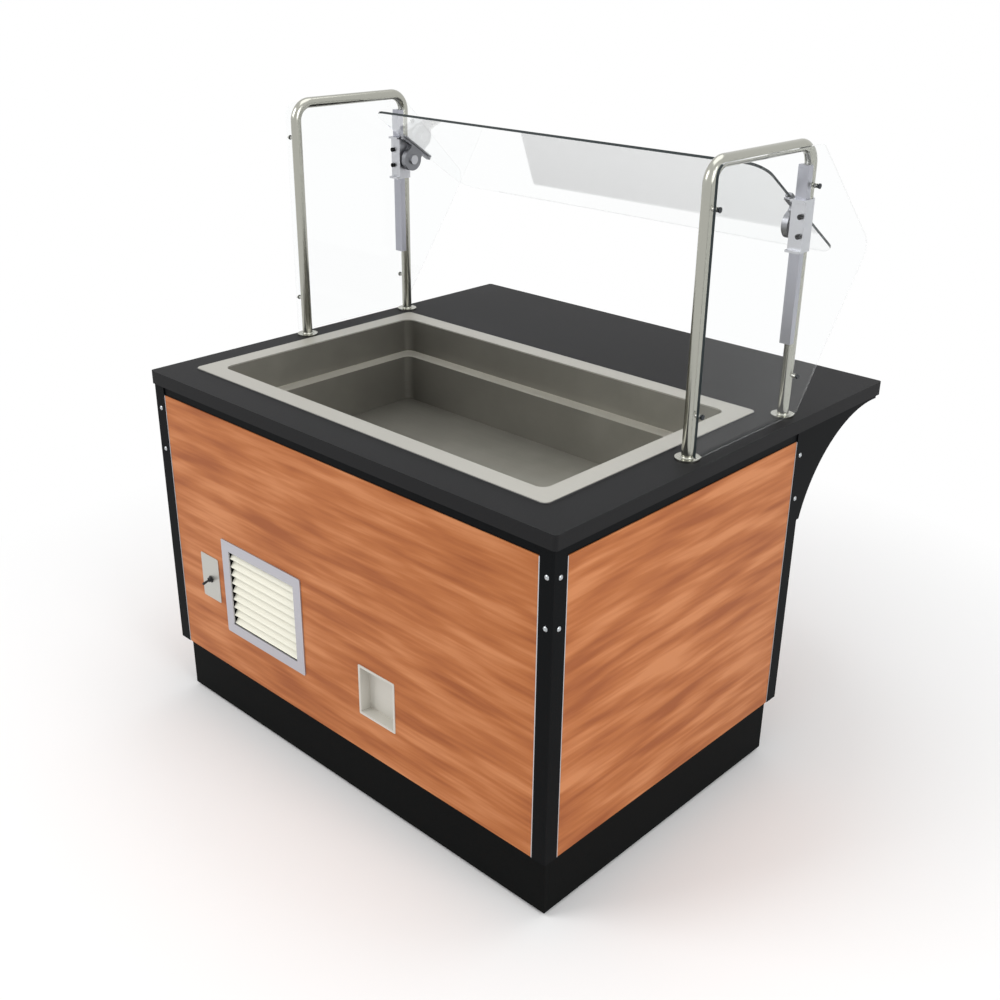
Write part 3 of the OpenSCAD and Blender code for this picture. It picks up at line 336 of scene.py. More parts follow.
@dataclass(frozen=True)
class BrushedMetal(Finish):
    """Metal brushed or drawn in one direction, with hairlines that blur what it mirrors.

    Attributes:
        along: The direction of the hairlines.
        line_mm: Width of a hairline, drawn coarser than the real 0.1 mm so that it shows.
        long_mm: Length of a hairline.
        contrast: How far the hairlines vary the roughness.
        relief: Strength of the bump that they give.
    """

    along: Along = Along.LENGTH
    line_mm: float = 0.8
    long_mm: float = 250.0
    contrast: float = 0.08
    relief: float = 0.06

    def pattern(
        self, tree: bpy.types.NodeTree, shader: bpy.types.Node, place: bpy.types.NodeSocket
    ) -> None:
        """Adds the hairlines to the roughness and the bump.

        Args:
            tree: The material's node tree.
            shader: Its Principled shader.
            place: Socket of the place on the object, in metres.
        """
        fine, long = 1 / self.line_mm / MM, 1 / self.long_mm / MM
        scale = tuple(long if a else fine for a in self.along.value)
        drawn = add_node(tree, "ShaderNodeMapping", {"Vector": place, "Scale": scale})
        lines = add_node(
            tree, "ShaderNodeTexNoise", {"Vector": drawn.outputs[0], "Scale": 1.0, "Detail": 2.0}
        ).outputs[0]
        rough = add_node(
            tree,
            "ShaderNodeMapRange",
            {
                "Value": lines,
                "From Min": NOISE_LOW,
                "From Max": NOISE_HIGH,
                "To Min": self.roughness - self.contrast,
                "To Max": self.roughness + self.contrast,
            },
        )
        tree.links.new(rough.outputs[0], shader.inputs["Roughness"])
        bump = add_node(
            tree,
            "ShaderNodeBump",
            {"Height": lines, "Strength": self.relief, "Distance": SKIN_DEEP},
        )
        tree.links.new(bump.outputs[0], shader.inputs["Normal"])


@dataclass(frozen=True)
class TwoTone(BrushedMetal):
    """Brushed metal that changes colour past two planes, as where one node holds two finishes or
    where one zone carries painted shade.

    Attributes:
        outer: Colour outside the planes; the finish's own colour lies between them.
        across: Direction square to the planes.
        middle: Place midway between the planes, in metres along that direction.
        half: Distance from there to each plane, in metres.
    """

    outer: str = "bdbdb8"
    across: Along = Along.DEPTH
    middle: float = 0.0
    half: float = 1.0

    def pattern(
        self, tree: bpy.types.NodeTree, shader: bpy.types.Node, place: bpy.types.NodeSocket
    ) -> None:
        """Adds the hairlines, then the colour by place.

        Args:
            tree: The material's node tree.
            shader: Its Principled shader.
            place: Socket of the place on the object, in metres.
        """
        super().pattern(tree, shader, place)
        reach = add_node(
            tree, "ShaderNodeVectorMath", {0: place, 1: self.across.value}, operation="DOT_PRODUCT"
        )
        near = add_node(
            tree,
            "ShaderNodeMath",
            {0: reach.outputs["Value"], 1: self.middle, 2: self.half},
            operation="COMPARE",
        )
        colour = add_node(
            tree,
            "ShaderNodeMix",
            {0: near.outputs[0], 6: linear(self.outer), 7: linear(self.colour)},
            data_type="RGBA",
        )
        tree.links.new(colour.outputs[2], shader.inputs["Base Color"])


@dataclass(frozen=True)
class WellSteel(BrushedMetal):
    """Stainless of the well: a brushed bright rim above a duller pressed pan, whose darker colour
    is painted shade.

    Attributes:
        shades: Colours of the pan, painted shade and painted light along one way: darkest at its
            rear left corner and brightest, as a painted highlight, at its front right.
        toward_lit: Direction from the pan's painted-shade corner to its painted-highlight corner.
        reach: Where the first and the last shade lie along it, in metres.
        ledge: Colour of the pan ledge, lighter than the pan: a painted highlight on its upward
            face.
        rim_z: Height above which the metal is the bright rim.
        ledge_z: Height of the ledge.
        ledge_near: How near to its height the ledge's colour reaches, in metres.
        scatter: Metallic value of the pan, whose pressed skin scatters light.
        clouds: Number of clouds to a metre, which make the painted shade uneven.
        drift: How far the clouds shift the shades, in metres.
    """

    shades: tuple[str, str, str] = ("4e4c46", "74726a", "a6a49a")
    toward_lit: tuple[float, float, float] = (0.6, -0.9, 0.0)
    reach: tuple[float, float] = (-0.5, 0.6)
    ledge: str = "aba89e"
    rim_z: float = 0.8885
    ledge_z: float = 0.802
    ledge_near: float = 0.0015
    scatter: float = 0.4
    clouds: float = 9.0
    drift: float = 0.25

    def pattern(
        self, tree: bpy.types.NodeTree, shader: bpy.types.Node, place: bpy.types.NodeSocket
    ) -> None:
        """Adds the hairlines, then by place the pan's painted shade, the ledge's painted highlight
        and the rim.

        Args:
            tree: The material's node tree.
            shader: Its Principled shader.
            place: Socket of the place on the object, in metres.
        """
        super().pattern(tree, shader, place)
        height = add_node(tree, "ShaderNodeSeparateXYZ", {0: place}).outputs[2]
        # Painted shade and light: the pan darkens toward its rear left and brightens toward its
        # front right.
        along = add_node(
            tree, "ShaderNodeVectorMath", {0: place, 1: self.toward_lit}, operation="DOT_PRODUCT"
        )
        clouds = add_node(
            tree, "ShaderNodeTexNoise", {"Vector": place, "Scale": self.clouds, "Detail": 3.0}
        )
        uneven = add_node(
            tree,
            "ShaderNodeMath",
            {0: clouds.outputs[0], 1: self.drift, 2: along.outputs["Value"]},
            operation="MULTIPLY_ADD",
        )
        step = add_node(
            tree,
            "ShaderNodeMapRange",
            {"Value": uneven.outputs[0], "From Min": self.reach[0], "From Max": self.reach[1]},
        )
        pan_shade = add_node(
            tree,
            "ShaderNodeValToRGB",
            {0: step.outputs[0]},
            stops=((0.0, self.shades[0]), (1.0, self.shades[2]), (0.5, self.shades[1])),
        )
        # Painted highlight: a lighter band at the ledge's height.
        near = add_node(
            tree,
            "ShaderNodeMath",
            {0: height, 1: self.ledge_z, 2: self.ledge_near},
            operation="COMPARE",
        )
        pan = add_node(
            tree,
            "ShaderNodeMix",
            {0: near.outputs[0], 6: pan_shade.outputs[0], 7: linear(self.ledge)},
            data_type="RGBA",
        )
        above = add_node(
            tree, "ShaderNodeMath", {0: height, 1: self.rim_z}, operation="GREATER_THAN"
        )
        whole = add_node(
            tree,
            "ShaderNodeMix",
            {0: above.outputs[0], 6: pan.outputs[2], 7: linear(self.colour)},
            data_type="RGBA",
        )
        tree.links.new(whole.outputs[2], shader.inputs["Base Color"])
        shine = add_node(
            tree,
            "ShaderNodeMix",
            {0: above.outputs[0], 2: self.scatter, 3: self.metallic},
            data_type="FLOAT",
        )
        tree.links.new(shine.outputs[0], shader.inputs["Metallic"])


@dataclass(frozen=True)
class PolishedPane(Finish):
    """Clear toughened glass with polished edges, some of which carry painted shade.

    Attributes:
        face: Direction square to the pane.
        shade_facing: Direction that the edges with painted shade face.
        from_x: Place along X past which the edges carry painted shade, in metres.
        edge: Colour painted on those edges as painted shade.
        pale: Colour of the polished edges.
        trace: How much of the polished edges shows; they carry light and all but vanish.
        flat: Cosine past which a surface counts as a face of the pane.
        turned: Cosine past which an edge counts as facing the way of the painted shade.
    """

    face: tuple[float, float, float] = (1.0, 0.0, 0.0)
    shade_facing: tuple[float, float, float] = (0.0, -1.0, 0.0)
    from_x: float = -1.0
    edge: str = "33393a"
    pale: str = "f4f8f7"
    trace: float = 0.12
    flat: float = 0.5
    turned: float = 0.3

    def pattern(
        self, tree: bpy.types.NodeTree, shader: bpy.types.Node, place: bpy.types.NodeSocket
    ) -> None:
        """Lets light through the faces and colours the edges, which face along the pane; some get
        painted shade.

        A surface seen from within the pane has its normal turned round, so it is turned back.

        Args:
            tree: The material's node tree.
            shader: Its Principled shader.
            place: Socket of the place on the object, in metres.
        """
        normal = place.node.outputs["Normal"]
        square, toward = (
            add_node(
                tree, "ShaderNodeVectorMath", {0: normal, 1: way}, operation="DOT_PRODUCT"
            ).outputs["Value"]
            for way in (self.face, self.shade_facing)
        )
        size = add_node(tree, "ShaderNodeMath", {0: square}, operation="ABSOLUTE")
        clear = add_node(
            tree, "ShaderNodeMath", {0: size.outputs[0], 1: self.flat}, operation="GREATER_THAN"
        ).outputs[0]
        inside = add_node(tree, "ShaderNodeNewGeometry").outputs["Backfacing"]
        outward = add_node(
            tree, "ShaderNodeMath", {0: inside, 1: -2.0, 2: 1.0}, operation="MULTIPLY_ADD"
        )
        true_way = add_node(
            tree, "ShaderNodeMath", {0: toward, 1: outward.outputs[0]}, operation="MULTIPLY"
        )
        facing = add_node(
            tree,
            "ShaderNodeMath",
            {0: true_way.outputs[0], 1: self.turned},
            operation="GREATER_THAN",
        )
        right = add_node(tree, "ShaderNodeSeparateXYZ", {0: place}).outputs[0]
        past = add_node(
            tree, "ShaderNodeMath", {0: right, 1: self.from_x}, operation="GREATER_THAN"
        )
        # Painted shade: edges that face the shaded way, past from_x, get the dark edge colour.
        dark = add_node(
            tree, "ShaderNodeMath", {0: facing.outputs[0], 1: past.outputs[0]}, operation="MULTIPLY"
        )
        rim = add_node(
            tree,
            "ShaderNodeMix",
            {0: dark.outputs[0], 6: linear(self.pale), 7: linear(self.edge)},
            data_type="RGBA",
        )
        tint = add_node(
            tree,
            "ShaderNodeMix",
            {0: clear, 6: rim.outputs[2], 7: linear(self.colour)},
            data_type="RGBA",
        )
        tree.links.new(tint.outputs[2], shader.inputs["Base Color"])
        tree.links.new(clear, shader.inputs["Transmission Weight"])
        solid = add_node(
            tree, "ShaderNodeMath", {0: clear, 1: dark.outputs[0]}, operation="MAXIMUM"
        )
        opacity = add_node(
            tree, "ShaderNodeMapRange", {"Value": solid.outputs[0], "To Min": self.trace}
        )
        tree.links.new(opacity.outputs[0], shader.inputs["Alpha"])


@lru_cache(maxsize=None)
def material_of(finish: Finish) -> bpy.types.Material:
    """Gives a finish's material, made once."""
    return finish.make()


# Decorative laminate, pressed satin: warm brown with long soft streaks and no clear shine.
LAMINATE = WoodLaminate("cherry_laminate", "b36a38", 0.45, gloss=0.2)
# Powder coat, baked dull: close to black from every side, with a slight orange peel.
BLACK_PAINT = Speckled(
    "black_powder_coat", "0a0b0c", 0.5, gloss=0.04, fleck="101214", grain_mm=2.0, relief=0.12
)
# Toe board in black-faced board: duller still.
TOE_BOARD = Speckled("black_toe_board", "090a0a", 0.6, gloss=0.04, fleck="0f1010", grain_mm=3.0)
# Cast solid surfacing, honed: charcoal with a grain that shows only close to.
SLAB = Speckled(
    "charcoal_solid_surface", "1f1f20", 0.5, gloss=0.06, fleck="262627", grain_mm=1.6, spread=0.4
)
# Type 304 sheet, brushed on the rim; the pan below is pressed duller and carries painted shade,
# darkest at its rear left, and a painted highlight on its ledge: soft grey without clear mirroring.
WELL = WellSteel("brushed_stainless_well", "b9b7b0", 0.5, metallic=1.0, contrast=0.04, relief=0.02)
# Type 304 sheet, brushed along: an even grey with fine lines.
STAINLESS = BrushedMetal("brushed_stainless", "c2c1bb", 0.42, metallic=1.0)
# The same sheet folded into the pocket, its skin scuffed dull by plugs: pale, even and matt.
POCKET = BrushedMetal("scuffed_stainless", "cfccc4", 0.6, metallic=0.25, gloss=0.3)
# Welded tube, polished along: a bright line on a mid grey body.
POLISHED = BrushedMetal(
    "polished_stainless", "aaaaa1", 0.2, metallic=1.0, along=Along.HEIGHT, contrast=0.04
)
# Hot-dip galvanised sheet: dull grey with spangles.
GALVANISED = Speckled(
    "galvanised_steel", "8d9194", 0.42, metallic=1.0, fleck="a7abad", grain_mm=9.0, spread=0.2
)
# Extruded 6063, satin anodised: a pale cool grey that blurs what it mirrors.
ALUMINIUM = BrushedMetal("anodised_aluminium", "c4c5c9", 0.38, metallic=1.0, along=Along.HEIGHT)
# Pressed stainless arms: a darker grey than the clamps they swing on.
ARM = BrushedMetal("pressed_stainless_arm", "8a8b8f", 0.38, metallic=1.0)
# The same extrusion as the clamps on the guide rails, in a darker lilac grey.
RAIL = BrushedMetal("anodised_rail", "a9aab2", 0.36, metallic=1.0, along=Along.HEIGHT)
# Grille frame: the satin face shows, and the throat behind it is painted near black as painted
# shade.
GRILLE_PAINTED_SHADE = TwoTone("grille_frame", "101112", 0.42, metallic=0.9, outer="bdbcc2", half=0.5725)
# Standoffs: bright turned steel, with dark caps outside the right pane only, as photographed.
STANDOFF = TwoTone(
    "turned_standoff",
    "b4b4ae",
    0.34,
    metallic=0.9,
    outer="34373a",
    across=Along.LENGTH,
    middle=-1.0,
    half=1.6215,
)
# Baked enamel on the blades: a warm white that hardly shines.
LOUVRE_PAINT = Speckled("cream_enamel", "f1eedd", 0.4, gloss=0.3, fleck="f6f4e6", grain_mm=2.0)
# Phosphated and oiled steel: a dull dark grey with a soft sheen.
DARK_METAL = Speckled(
    "phosphated_steel", "2f3133", 0.45, metallic=0.7, fleck="3a3c3e", grain_mm=2.0
)
# Black-oxide socket screws: nearly black with a dry skin.
BLACK_OXIDE = Speckled("black_oxide", "0d0e0f", 0.5, gloss=0.15, fleck="16181a", grain_mm=0.6)
# Glass-filled nylon: black with a fine moulded grain.
BLACK_PLASTIC = Speckled("moulded_nylon", "161617", 0.45, fleck="1d1d1e", grain_mm=0.8, relief=0.1)
# Rigid polyurethane foam: matt straw with small cells.
FOAM = Speckled("polyurethane_foam", "dfd3b0", 0.9, fleck="cdbf97", grain_mm=1.2, relief=0.4)
# Soft-drawn copper tube: warm and bright with drawing lines.
COPPER = BrushedMetal("drawn_copper", "b9714a", 0.28, metallic=1.0)
# Forged brass: yellow with a fine sandy skin.
BRASS = Speckled(
    "forged_brass", "b08d4c", 0.36, metallic=1.0, fleck="a17f42", grain_mm=1.0, relief=0.1
)
# Bright zinc plating: a clean light grey.
ZINC = Speckled("zinc_plated_steel", "a9adb0", 0.33, metallic=1.0, fleck="b7bbbd", grain_mm=3.0)
# Dipped vinyl grip: red, soft and slightly dimpled.
RED_PLASTIC = Speckled("red_vinyl_grip", "9c2219", 0.5, fleck="a92a20", grain_mm=0.8, relief=0.1)
# Cast rubber tread: dark grey and dead.
GREY_RUBBER = Speckled("grey_rubber", "2c2d2f", 0.7, fleck="37383a", grain_mm=0.8, relief=0.15)
# Aluminium fin pack: close bright lines.
FINS = BrushedMetal("aluminium_fins", "b4b8ba", 0.4, metallic=1.0, along=Along.HEIGHT)
# Neutral-cure silicone, tooled: a dark satin bead.
SEALANT = Speckled("silicone_sealant", "303031", 0.5, gloss=0.3, fleck="383839", grain_mm=1.0)
# Toughened clear glass, coated so that it hardly mirrors: its IOR is matched to the photograph,
# below the 1.52 of bare glass. Only the right end pane's front edge carries painted shade and looks
# dark.
END_PANE = PolishedPane("clear_glass_end", "fdfefe", 0.0, ior=1.15, from_x=0.0)
# The same on the sloping pane, which mirrors a little more; its upper edge and right end carry
# painted shade and look dark.
FRONT_PANE = PolishedPane(
    "clear_glass_front",
    "fdfefe",
    0.0,
    ior=1.3,
    face=(0.0, math.sin(PANE_SLOPE), math.cos(PANE_SLOPE)),
    shade_facing=(0.7, -0.58, 0.39),
)


def dress(finish: Finish, *nodes: str) -> None:
    """Gives CAD nodes a finish.

    Args:
        finish: The finish.
        *nodes: Names of the CAD nodes.
    """
    for name in nodes:
        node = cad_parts[name]
        node.data.materials.clear()
        node.data.materials.append(material_of(finish))
        LOG.info("dressed %s in %s", name, finish.name)


# ---------------------------------------------------------------- surfaces


def surface(
    name: str,
    grids: Sequence[np.ndarray],
    wraps: tuple[bool, bool],
    material: bpy.types.Material,
) -> bpy.types.Object:
    """Makes one smooth mesh from grids of points, each a surface over two parameters.

    Four neighbours of a grid make a face. Seen from its front, the columns run to the right and
    the rows upward.

    Args:
        name: The object's name.
        grids: Arrays of rows x columns x 3 points, in metres, of one size.
        wraps: Whether the last row joins the first, and the last column the first.
        material: The mesh's material.

    Returns:
        The new object, linked to the scene.
    """
    rows, columns = grids[0].shape[:2]
    i = np.arange(rows if wraps[0] else rows - 1)[:, None]
    j = np.arange(columns if wraps[1] else columns - 1)[None, :]
    corners = [
        i * columns + j,
        i * columns + (j + 1) % columns,
        (i + 1) % rows * columns + (j + 1) % columns,
        (i + 1) % rows * columns + j,
    ]
    faces = np.stack([np.broadcast_to(c, (i.size, j.size)) for c in corners], axis=-1)
    faces = faces.reshape(-1, 4)
    shifts = np.arange(len(grids))[:, None, None] * rows * columns
    mesh = bpy.data.meshes.new(name)
    mesh.from_pydata(
        np.concatenate([g.reshape(-1, 3) for g in grids]), [], (faces + shifts).reshape(-1, 4)
    )
    mesh.validate()
    mesh.polygons.foreach_set("use_smooth", np.ones(len(mesh.polygons), bool))
    mesh.materials.append(material)
    item = bpy.data.objects.new(name, mesh)
    bpy.context.scene.collection.objects.link(item)
    return item


def new_piece(
    name: str, grids: Sequence[np.ndarray], wraps: tuple[bool, bool], body: str, finish: Finish
) -> bpy.types.Object:
    """Makes a piece of the object and lets it ride on a CAD body.

    Args:
        name: The piece's name.
        grids: Its points, as surface() takes them.
        wraps: Whether the last row joins the first, and the last column the first.
        body: The CAD body that the piece rides on.
        finish: The piece's finish.

    Returns:
        The new object.
    """
    piece = surface(name, grids, wraps, material_of(finish))
    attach(piece, body)
    LOG.info("made %s with %d faces", name, len(piece.data.polygons))
    return piece


def rounded_rectangle(low: Sequence[float], high: Sequence[float], radius: float) -> np.ndarray:
    """Points and outward directions round a rectangle with round corners.

    Each corner is a quarter circle in equal steps, and straight lines join the quarters.

    Args:
        low: Lowest X and Y.
        high: Highest X and Y.
        radius: Radius of the corners.

    Returns:
        An array of points x 2 x 2: place and outward direction, anticlockwise.
    """
    quarter = np.linspace(0, 90, CORNER_POINTS)
    angles = np.radians(quarter[None, :] + np.arange(4)[:, None] * 90)
    out = np.stack([np.cos(angles), np.sin(angles)], axis=-1)
    sides = np.array([[1, 1], [-1, 1], [-1, -1], [1, -1]], float)
    middle = (np.array(low) + np.array(high)) / 2
    half = (np.array(high) - np.array(low)) / 2 - radius
    places = middle + sides[:, None, :] * half + out * radius
    return np.stack([places.reshape(-1, 2), out.reshape(-1, 2)], axis=1)


# ---------------------------------------------------------------- sub-assemblies


@dataclass(frozen=True)
class Cabinet:
    """Posts, panels and frames, with socket-drive dome screws in the posts.

    Attributes:
        head_r: Radius of a screw's head.
        head_h: Height of the head.
        dome_r: Radius of its dome.
        socket: Distance across the flats of the socket.
        socket_deep: Depth of the socket.
        rings: Radii of the rings on the dome inside its edge.
        rim_drop: How far the socket's rim lies below the dome's top.
        closed: What is left of the socket's floor at its middle, as a share.
        points: Points round a ring.
        post_mid: Distance of the screws from the cabinet's middle on the long sides.
        heights: Heights of the screws.
        post_half: Half the posts' width.
        bracket_t: Thickness of the brackets that the rear screws hold.
    """

    head_r: float = 5.5
    head_h: float = 2.6
    dome_r: float = 7.2
    socket: float = 3.0
    socket_deep: float = 1.3
    rings: tuple[float, ...] = (5.3, 4.8, 4.0, 3.1, 2.3)
    rim_drop: float = 0.35
    closed: float = 0.02
    points: int = 24
    post_mid: float = 622.0
    heights: tuple[float, float] = (797.0, 691.0)
    post_half: float = 18.0
    bracket_t: float = 4.0

    def build(self) -> None:
        """Dresses the nodes and replaces the plain screws."""
        dress(LAMINATE, "front_panel", "rear_panel", "end_panels")
        dress(BLACK_PAINT, "corner_posts", "top_frame", "base_frame")
        dress(TOE_BOARD, "toe_kick")
        dress(GALVANISED, "base_deck")
        dress(ALUMINIUM, "edge_trims")
        screws = new_piece(
            "post_screw_heads",
            [self.head() @ turn.T + place for place, turn in self.places()],
            (False, True),
            "cabinet",
            ZINC,
        )
        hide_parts("post_screws")

    def head(self) -> np.ndarray:
        """A dome-headed screw with a six-sided socket, facing +Z.

        Each ring is a circle on the dome's arc, and inside the socket's rim each ring is a hexagon:
        its radius is half the width across flats over the cosine of the angle from the nearest
        flat's middle.

        Returns:
            Rings x points round a ring x 3.
        """
        around = np.linspace(0, 2 * math.pi, self.points, endpoint=False)
        flat = np.abs((around % (math.pi / 3)) - math.pi / 6)
        hexagon = self.socket / 2 / np.cos(flat)
        ring_r = np.array([self.head_r, self.head_r, *self.rings])
        ring_h = self.head_h - self.dome_r + np.sqrt(self.dome_r**2 - ring_r**2)
        ring_h[0] = 0.0
        rim, floor = self.head_h - self.rim_drop, self.head_h - self.socket_deep
        domed = np.repeat(ring_r[:, None], self.points, axis=1)
        radii = np.concatenate([domed, [hexagon, hexagon, hexagon * self.closed]])
        heights = np.repeat(np.append(ring_h, [rim, floor, floor])[:, None], self.points, axis=1)
        return np.stack([radii * np.cos(around), radii * np.sin(around), heights], axis=-1) * MM

    def places(self) -> list[tuple[np.ndarray, np.ndarray]]:
        """Finds where the sixteen screws stand: at each height, one on each post's outer faces.

        Returns:
            Place and turn of each screw.
        """
        low, high = (np.array(c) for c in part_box("corner_posts"))
        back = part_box("shelf_brackets")[0].y + self.bracket_t * MM
        spots = []
        for z in self.heights:
            for side in (-1, 1):
                x, end = side * self.post_mid * MM, high[0] * side
                spots.append(((x, low[1], z * MM), (0, -1, 0)))
                spots.append(((x, back, z * MM), (0, 1, 0)))
                for y in (low[1] + self.post_half * MM, high[1] - self.post_half * MM):
                    spots.append(((end, y, z * MM), (side, 0, 0)))
        return [
            (np.array(p), np.array(Vector(d).to_track_quat("Z", "Y").to_matrix())) for p, d in spots
        ]


@dataclass(frozen=True)
class Worktop:
    """The dark slab and its brackets."""

    def build(self) -> None:
        """Dresses the nodes."""
        dress(SLAB, "worktop")
        dress(BLACK_PAINT, "shelf_brackets")


@dataclass(frozen=True)
class ColdWell:
    """The stainless pan with its drain, and the bead of sealant round its rim.

    Attributes:
        corner_r: Radius of the rim's corners.
        bead_w: Width of the bead.
        bead_h: Height of the bead.
        tuck: How far the bead reaches under the rim.
        lift: Hair's breadth between the bead and the worktop.
        points: Points round the bead's profile.
        worktop_z: Height of the worktop.
    """

    corner_r: float = 14.0
    bead_w: float = 3.0
    bead_h: float = 1.7
    tuck: float = 0.1
    lift: float = 0.02
    points: int = 8
    worktop_z: float = 889.0

    def build(self) -> None:
        """Dresses the nodes and adds the sealant."""
        dress(WELL, "well_liner")
        dress(FOAM, "well_foam")
        dress(GALVANISED, "well_jacket")
        dress(COPPER, "cooling_tube")
        dress(STAINLESS, "drain_fitting", "drain_strainer")
        dress(BRASS, "drain_valve", "drain_outlet")
        dress(RED_PLASTIC, "drain_lever")
        new_piece("rim_sealant", [self.bead()], (True, True), "cabinet", SEALANT)

    def bead(self) -> np.ndarray:
        """A flat-bottomed half-oval profile carried round the rim's outline.

        Returns:
            Points round the rim x points round the profile x 3.
        """
        low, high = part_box("well_liner")
        path = rounded_rectangle((low.x, low.y), (high.x, high.y), self.corner_r * MM)
        turn = np.linspace(0, math.pi, self.points)
        out = (self.bead_w / 2 - self.tuck + self.bead_w / 2 * np.cos(turn)) * MM
        up = (self.worktop_z + self.lift + self.bead_h * np.sin(turn)) * MM
        places = path[:, None, 0, :] + path[:, None, 1, :] * out[None, :, None]
        heights = np.broadcast_to(up, places.shape[:2])
        return np.concatenate([places, heights[..., None]], axis=-1)


@dataclass(frozen=True)
class CoolingUnit:
    """Compressor, coil, fan and lines behind the grille."""

    def build(self) -> None:
        """Dresses the nodes."""
        dress(DARK_METAL, "unit_base", "fan_shroud", "fan_motor")
        dress(BLACK_PAINT, "compressor")
        dress(GREY_RUBBER, "compressor_feet")
        dress(FINS, "condenser")
        dress(ALUMINIUM, "fan_blades")
        dress(COPPER, "suction_line", "discharge_line", "liquid_line")


@dataclass(frozen=True)
class FrontFittings:
    """Grille, switch and service pocket in the front panel."""

    def build(self) -> None:
        """Dresses the nodes."""
        dress(GRILLE_PAINTED_SHADE, "grille_frame")
        dress(LOUVRE_PAINT, "grille_louvres")
        dress(STAINLESS, "switch_plate")
        dress(POCKET, "service_recess")
        dress(BLACK_PLASTIC, "switch_body", "switch_toggle")


@dataclass(frozen=True)
class GlassGuard:
    """Hoops, clamps and panes, with the weld fillets at the hoops' feet.

    Attributes:
        tube_r: Radius of the hoop tube.
        fillet: Size of the fillet between a tube and its foot.
        lift: Hair's breadth between the fillet and both of them.
        sunk: How far the fillet's hidden corner lies in the tube and in the foot.
        points: Points round the tube, and on the fillet's profile.
        foot_z: Height of the feet's top faces.
    """

    tube_r: float = 12.7
    fillet: float = 2.6
    lift: float = 0.02
    sunk: tuple[float, float] = (0.3, 0.1)
    points: tuple[int, int] = (48, 7)
    foot_z: float = 894.0

    def build(self) -> None:
        """Dresses the nodes and adds the fillets."""
        dress(POLISHED, "hoop_left", "hoop_right", "hoop_feet")
        dress(RAIL, "guide_rails")
        dress(ALUMINIUM, "clamp_left", "clamp_right")
        dress(ARM, "glass_arms")
        dress(BLACK_OXIDE, "clamp_screws_left", "clamp_screws_right")
        dress(STANDOFF, "glass_standoffs")
        dress(END_PANE, "end_glass")
        dress(FRONT_PANE, "front_glass")
        fillets = new_piece(
            "foot_fillets",
            [self.ring() + place for place in self.feet()],
            (True, True),
            "cabinet",
            POLISHED,
        )

    def ring(self) -> np.ndarray:
        """A hollow fillet turned round a tube: a quarter circle that meets tube and foot squarely.

        Returns:
            Points of the profile x points round the tube x 3.
        """
        around = np.linspace(0, 2 * math.pi, self.points[0], endpoint=False)
        turn = np.linspace(0, math.pi / 2, self.points[1])
        out = self.tube_r + self.lift + self.fillet * (1 - np.sin(turn))
        radii = np.append(out, self.tube_r - self.sunk[0])
        heights = np.append(self.fillet * (1 - np.cos(turn)), -self.sunk[1]) + self.lift
        radii, heights = radii[::-1, None], heights[::-1, None]
        shape = [radii * np.cos(around), radii * np.sin(around), heights + 0 * around]
        return np.stack(shape, axis=-1) * MM

    def feet(self) -> list[np.ndarray]:
        """Finds the middles of the four feet's top faces.

        Returns:
            Four points, in metres.
        """
        spots = []
        for name in ("hoop_left", "hoop_right"):
            low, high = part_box(name)
            for y in (low.y + self.tube_r * MM, high.y - self.tube_r * MM):
                spots.append(np.array([(low.x + high.x) / 2, y, self.foot_z * MM]))
        return spots


@dataclass(frozen=True)
class Casters:
    """Four swivel casters behind the toe-kick, two of them with brakes."""

    def build(self) -> None:
        """Dresses the nodes."""
        corners = ("front_left", "front_right", "rear_left", "rear_right")
        dress(ZINC, "caster_plates", *(f"fork_{c}" for c in corners))
        dress(GREY_RUBBER, *(f"wheel_{c}" for c in corners))
        dress(DARK_METAL, "brake_front_left", "brake_front_right")


# ---------------------------------------------------------------- studio


@dataclass(frozen=True)
class Lamp:
    """A square soft lamp.

    Attributes:
        name: Its name.
        place: Where it stands, in metres.
        power: Its power, in watts.
        size: Its side, in metres.
    """

    name: str
    place: tuple[float, float, float]
    power: float
    size: float

    def hang(self, aim: tuple[float, float, float]) -> None:
        """Adds the lamp to the scene, turned to a point.

        Args:
            aim: The point.
        """
        data = bpy.data.lights.new(self.name, "AREA")
        data.energy, data.size = self.power, self.size
        lamp = bpy.data.objects.new(self.name, data)
        lamp.location = self.place
        way = Vector(aim) - Vector(self.place)
        lamp.rotation_euler = way.to_track_quat("-Z", "Y").to_euler()
        bpy.context.scene.collection.objects.link(lamp)


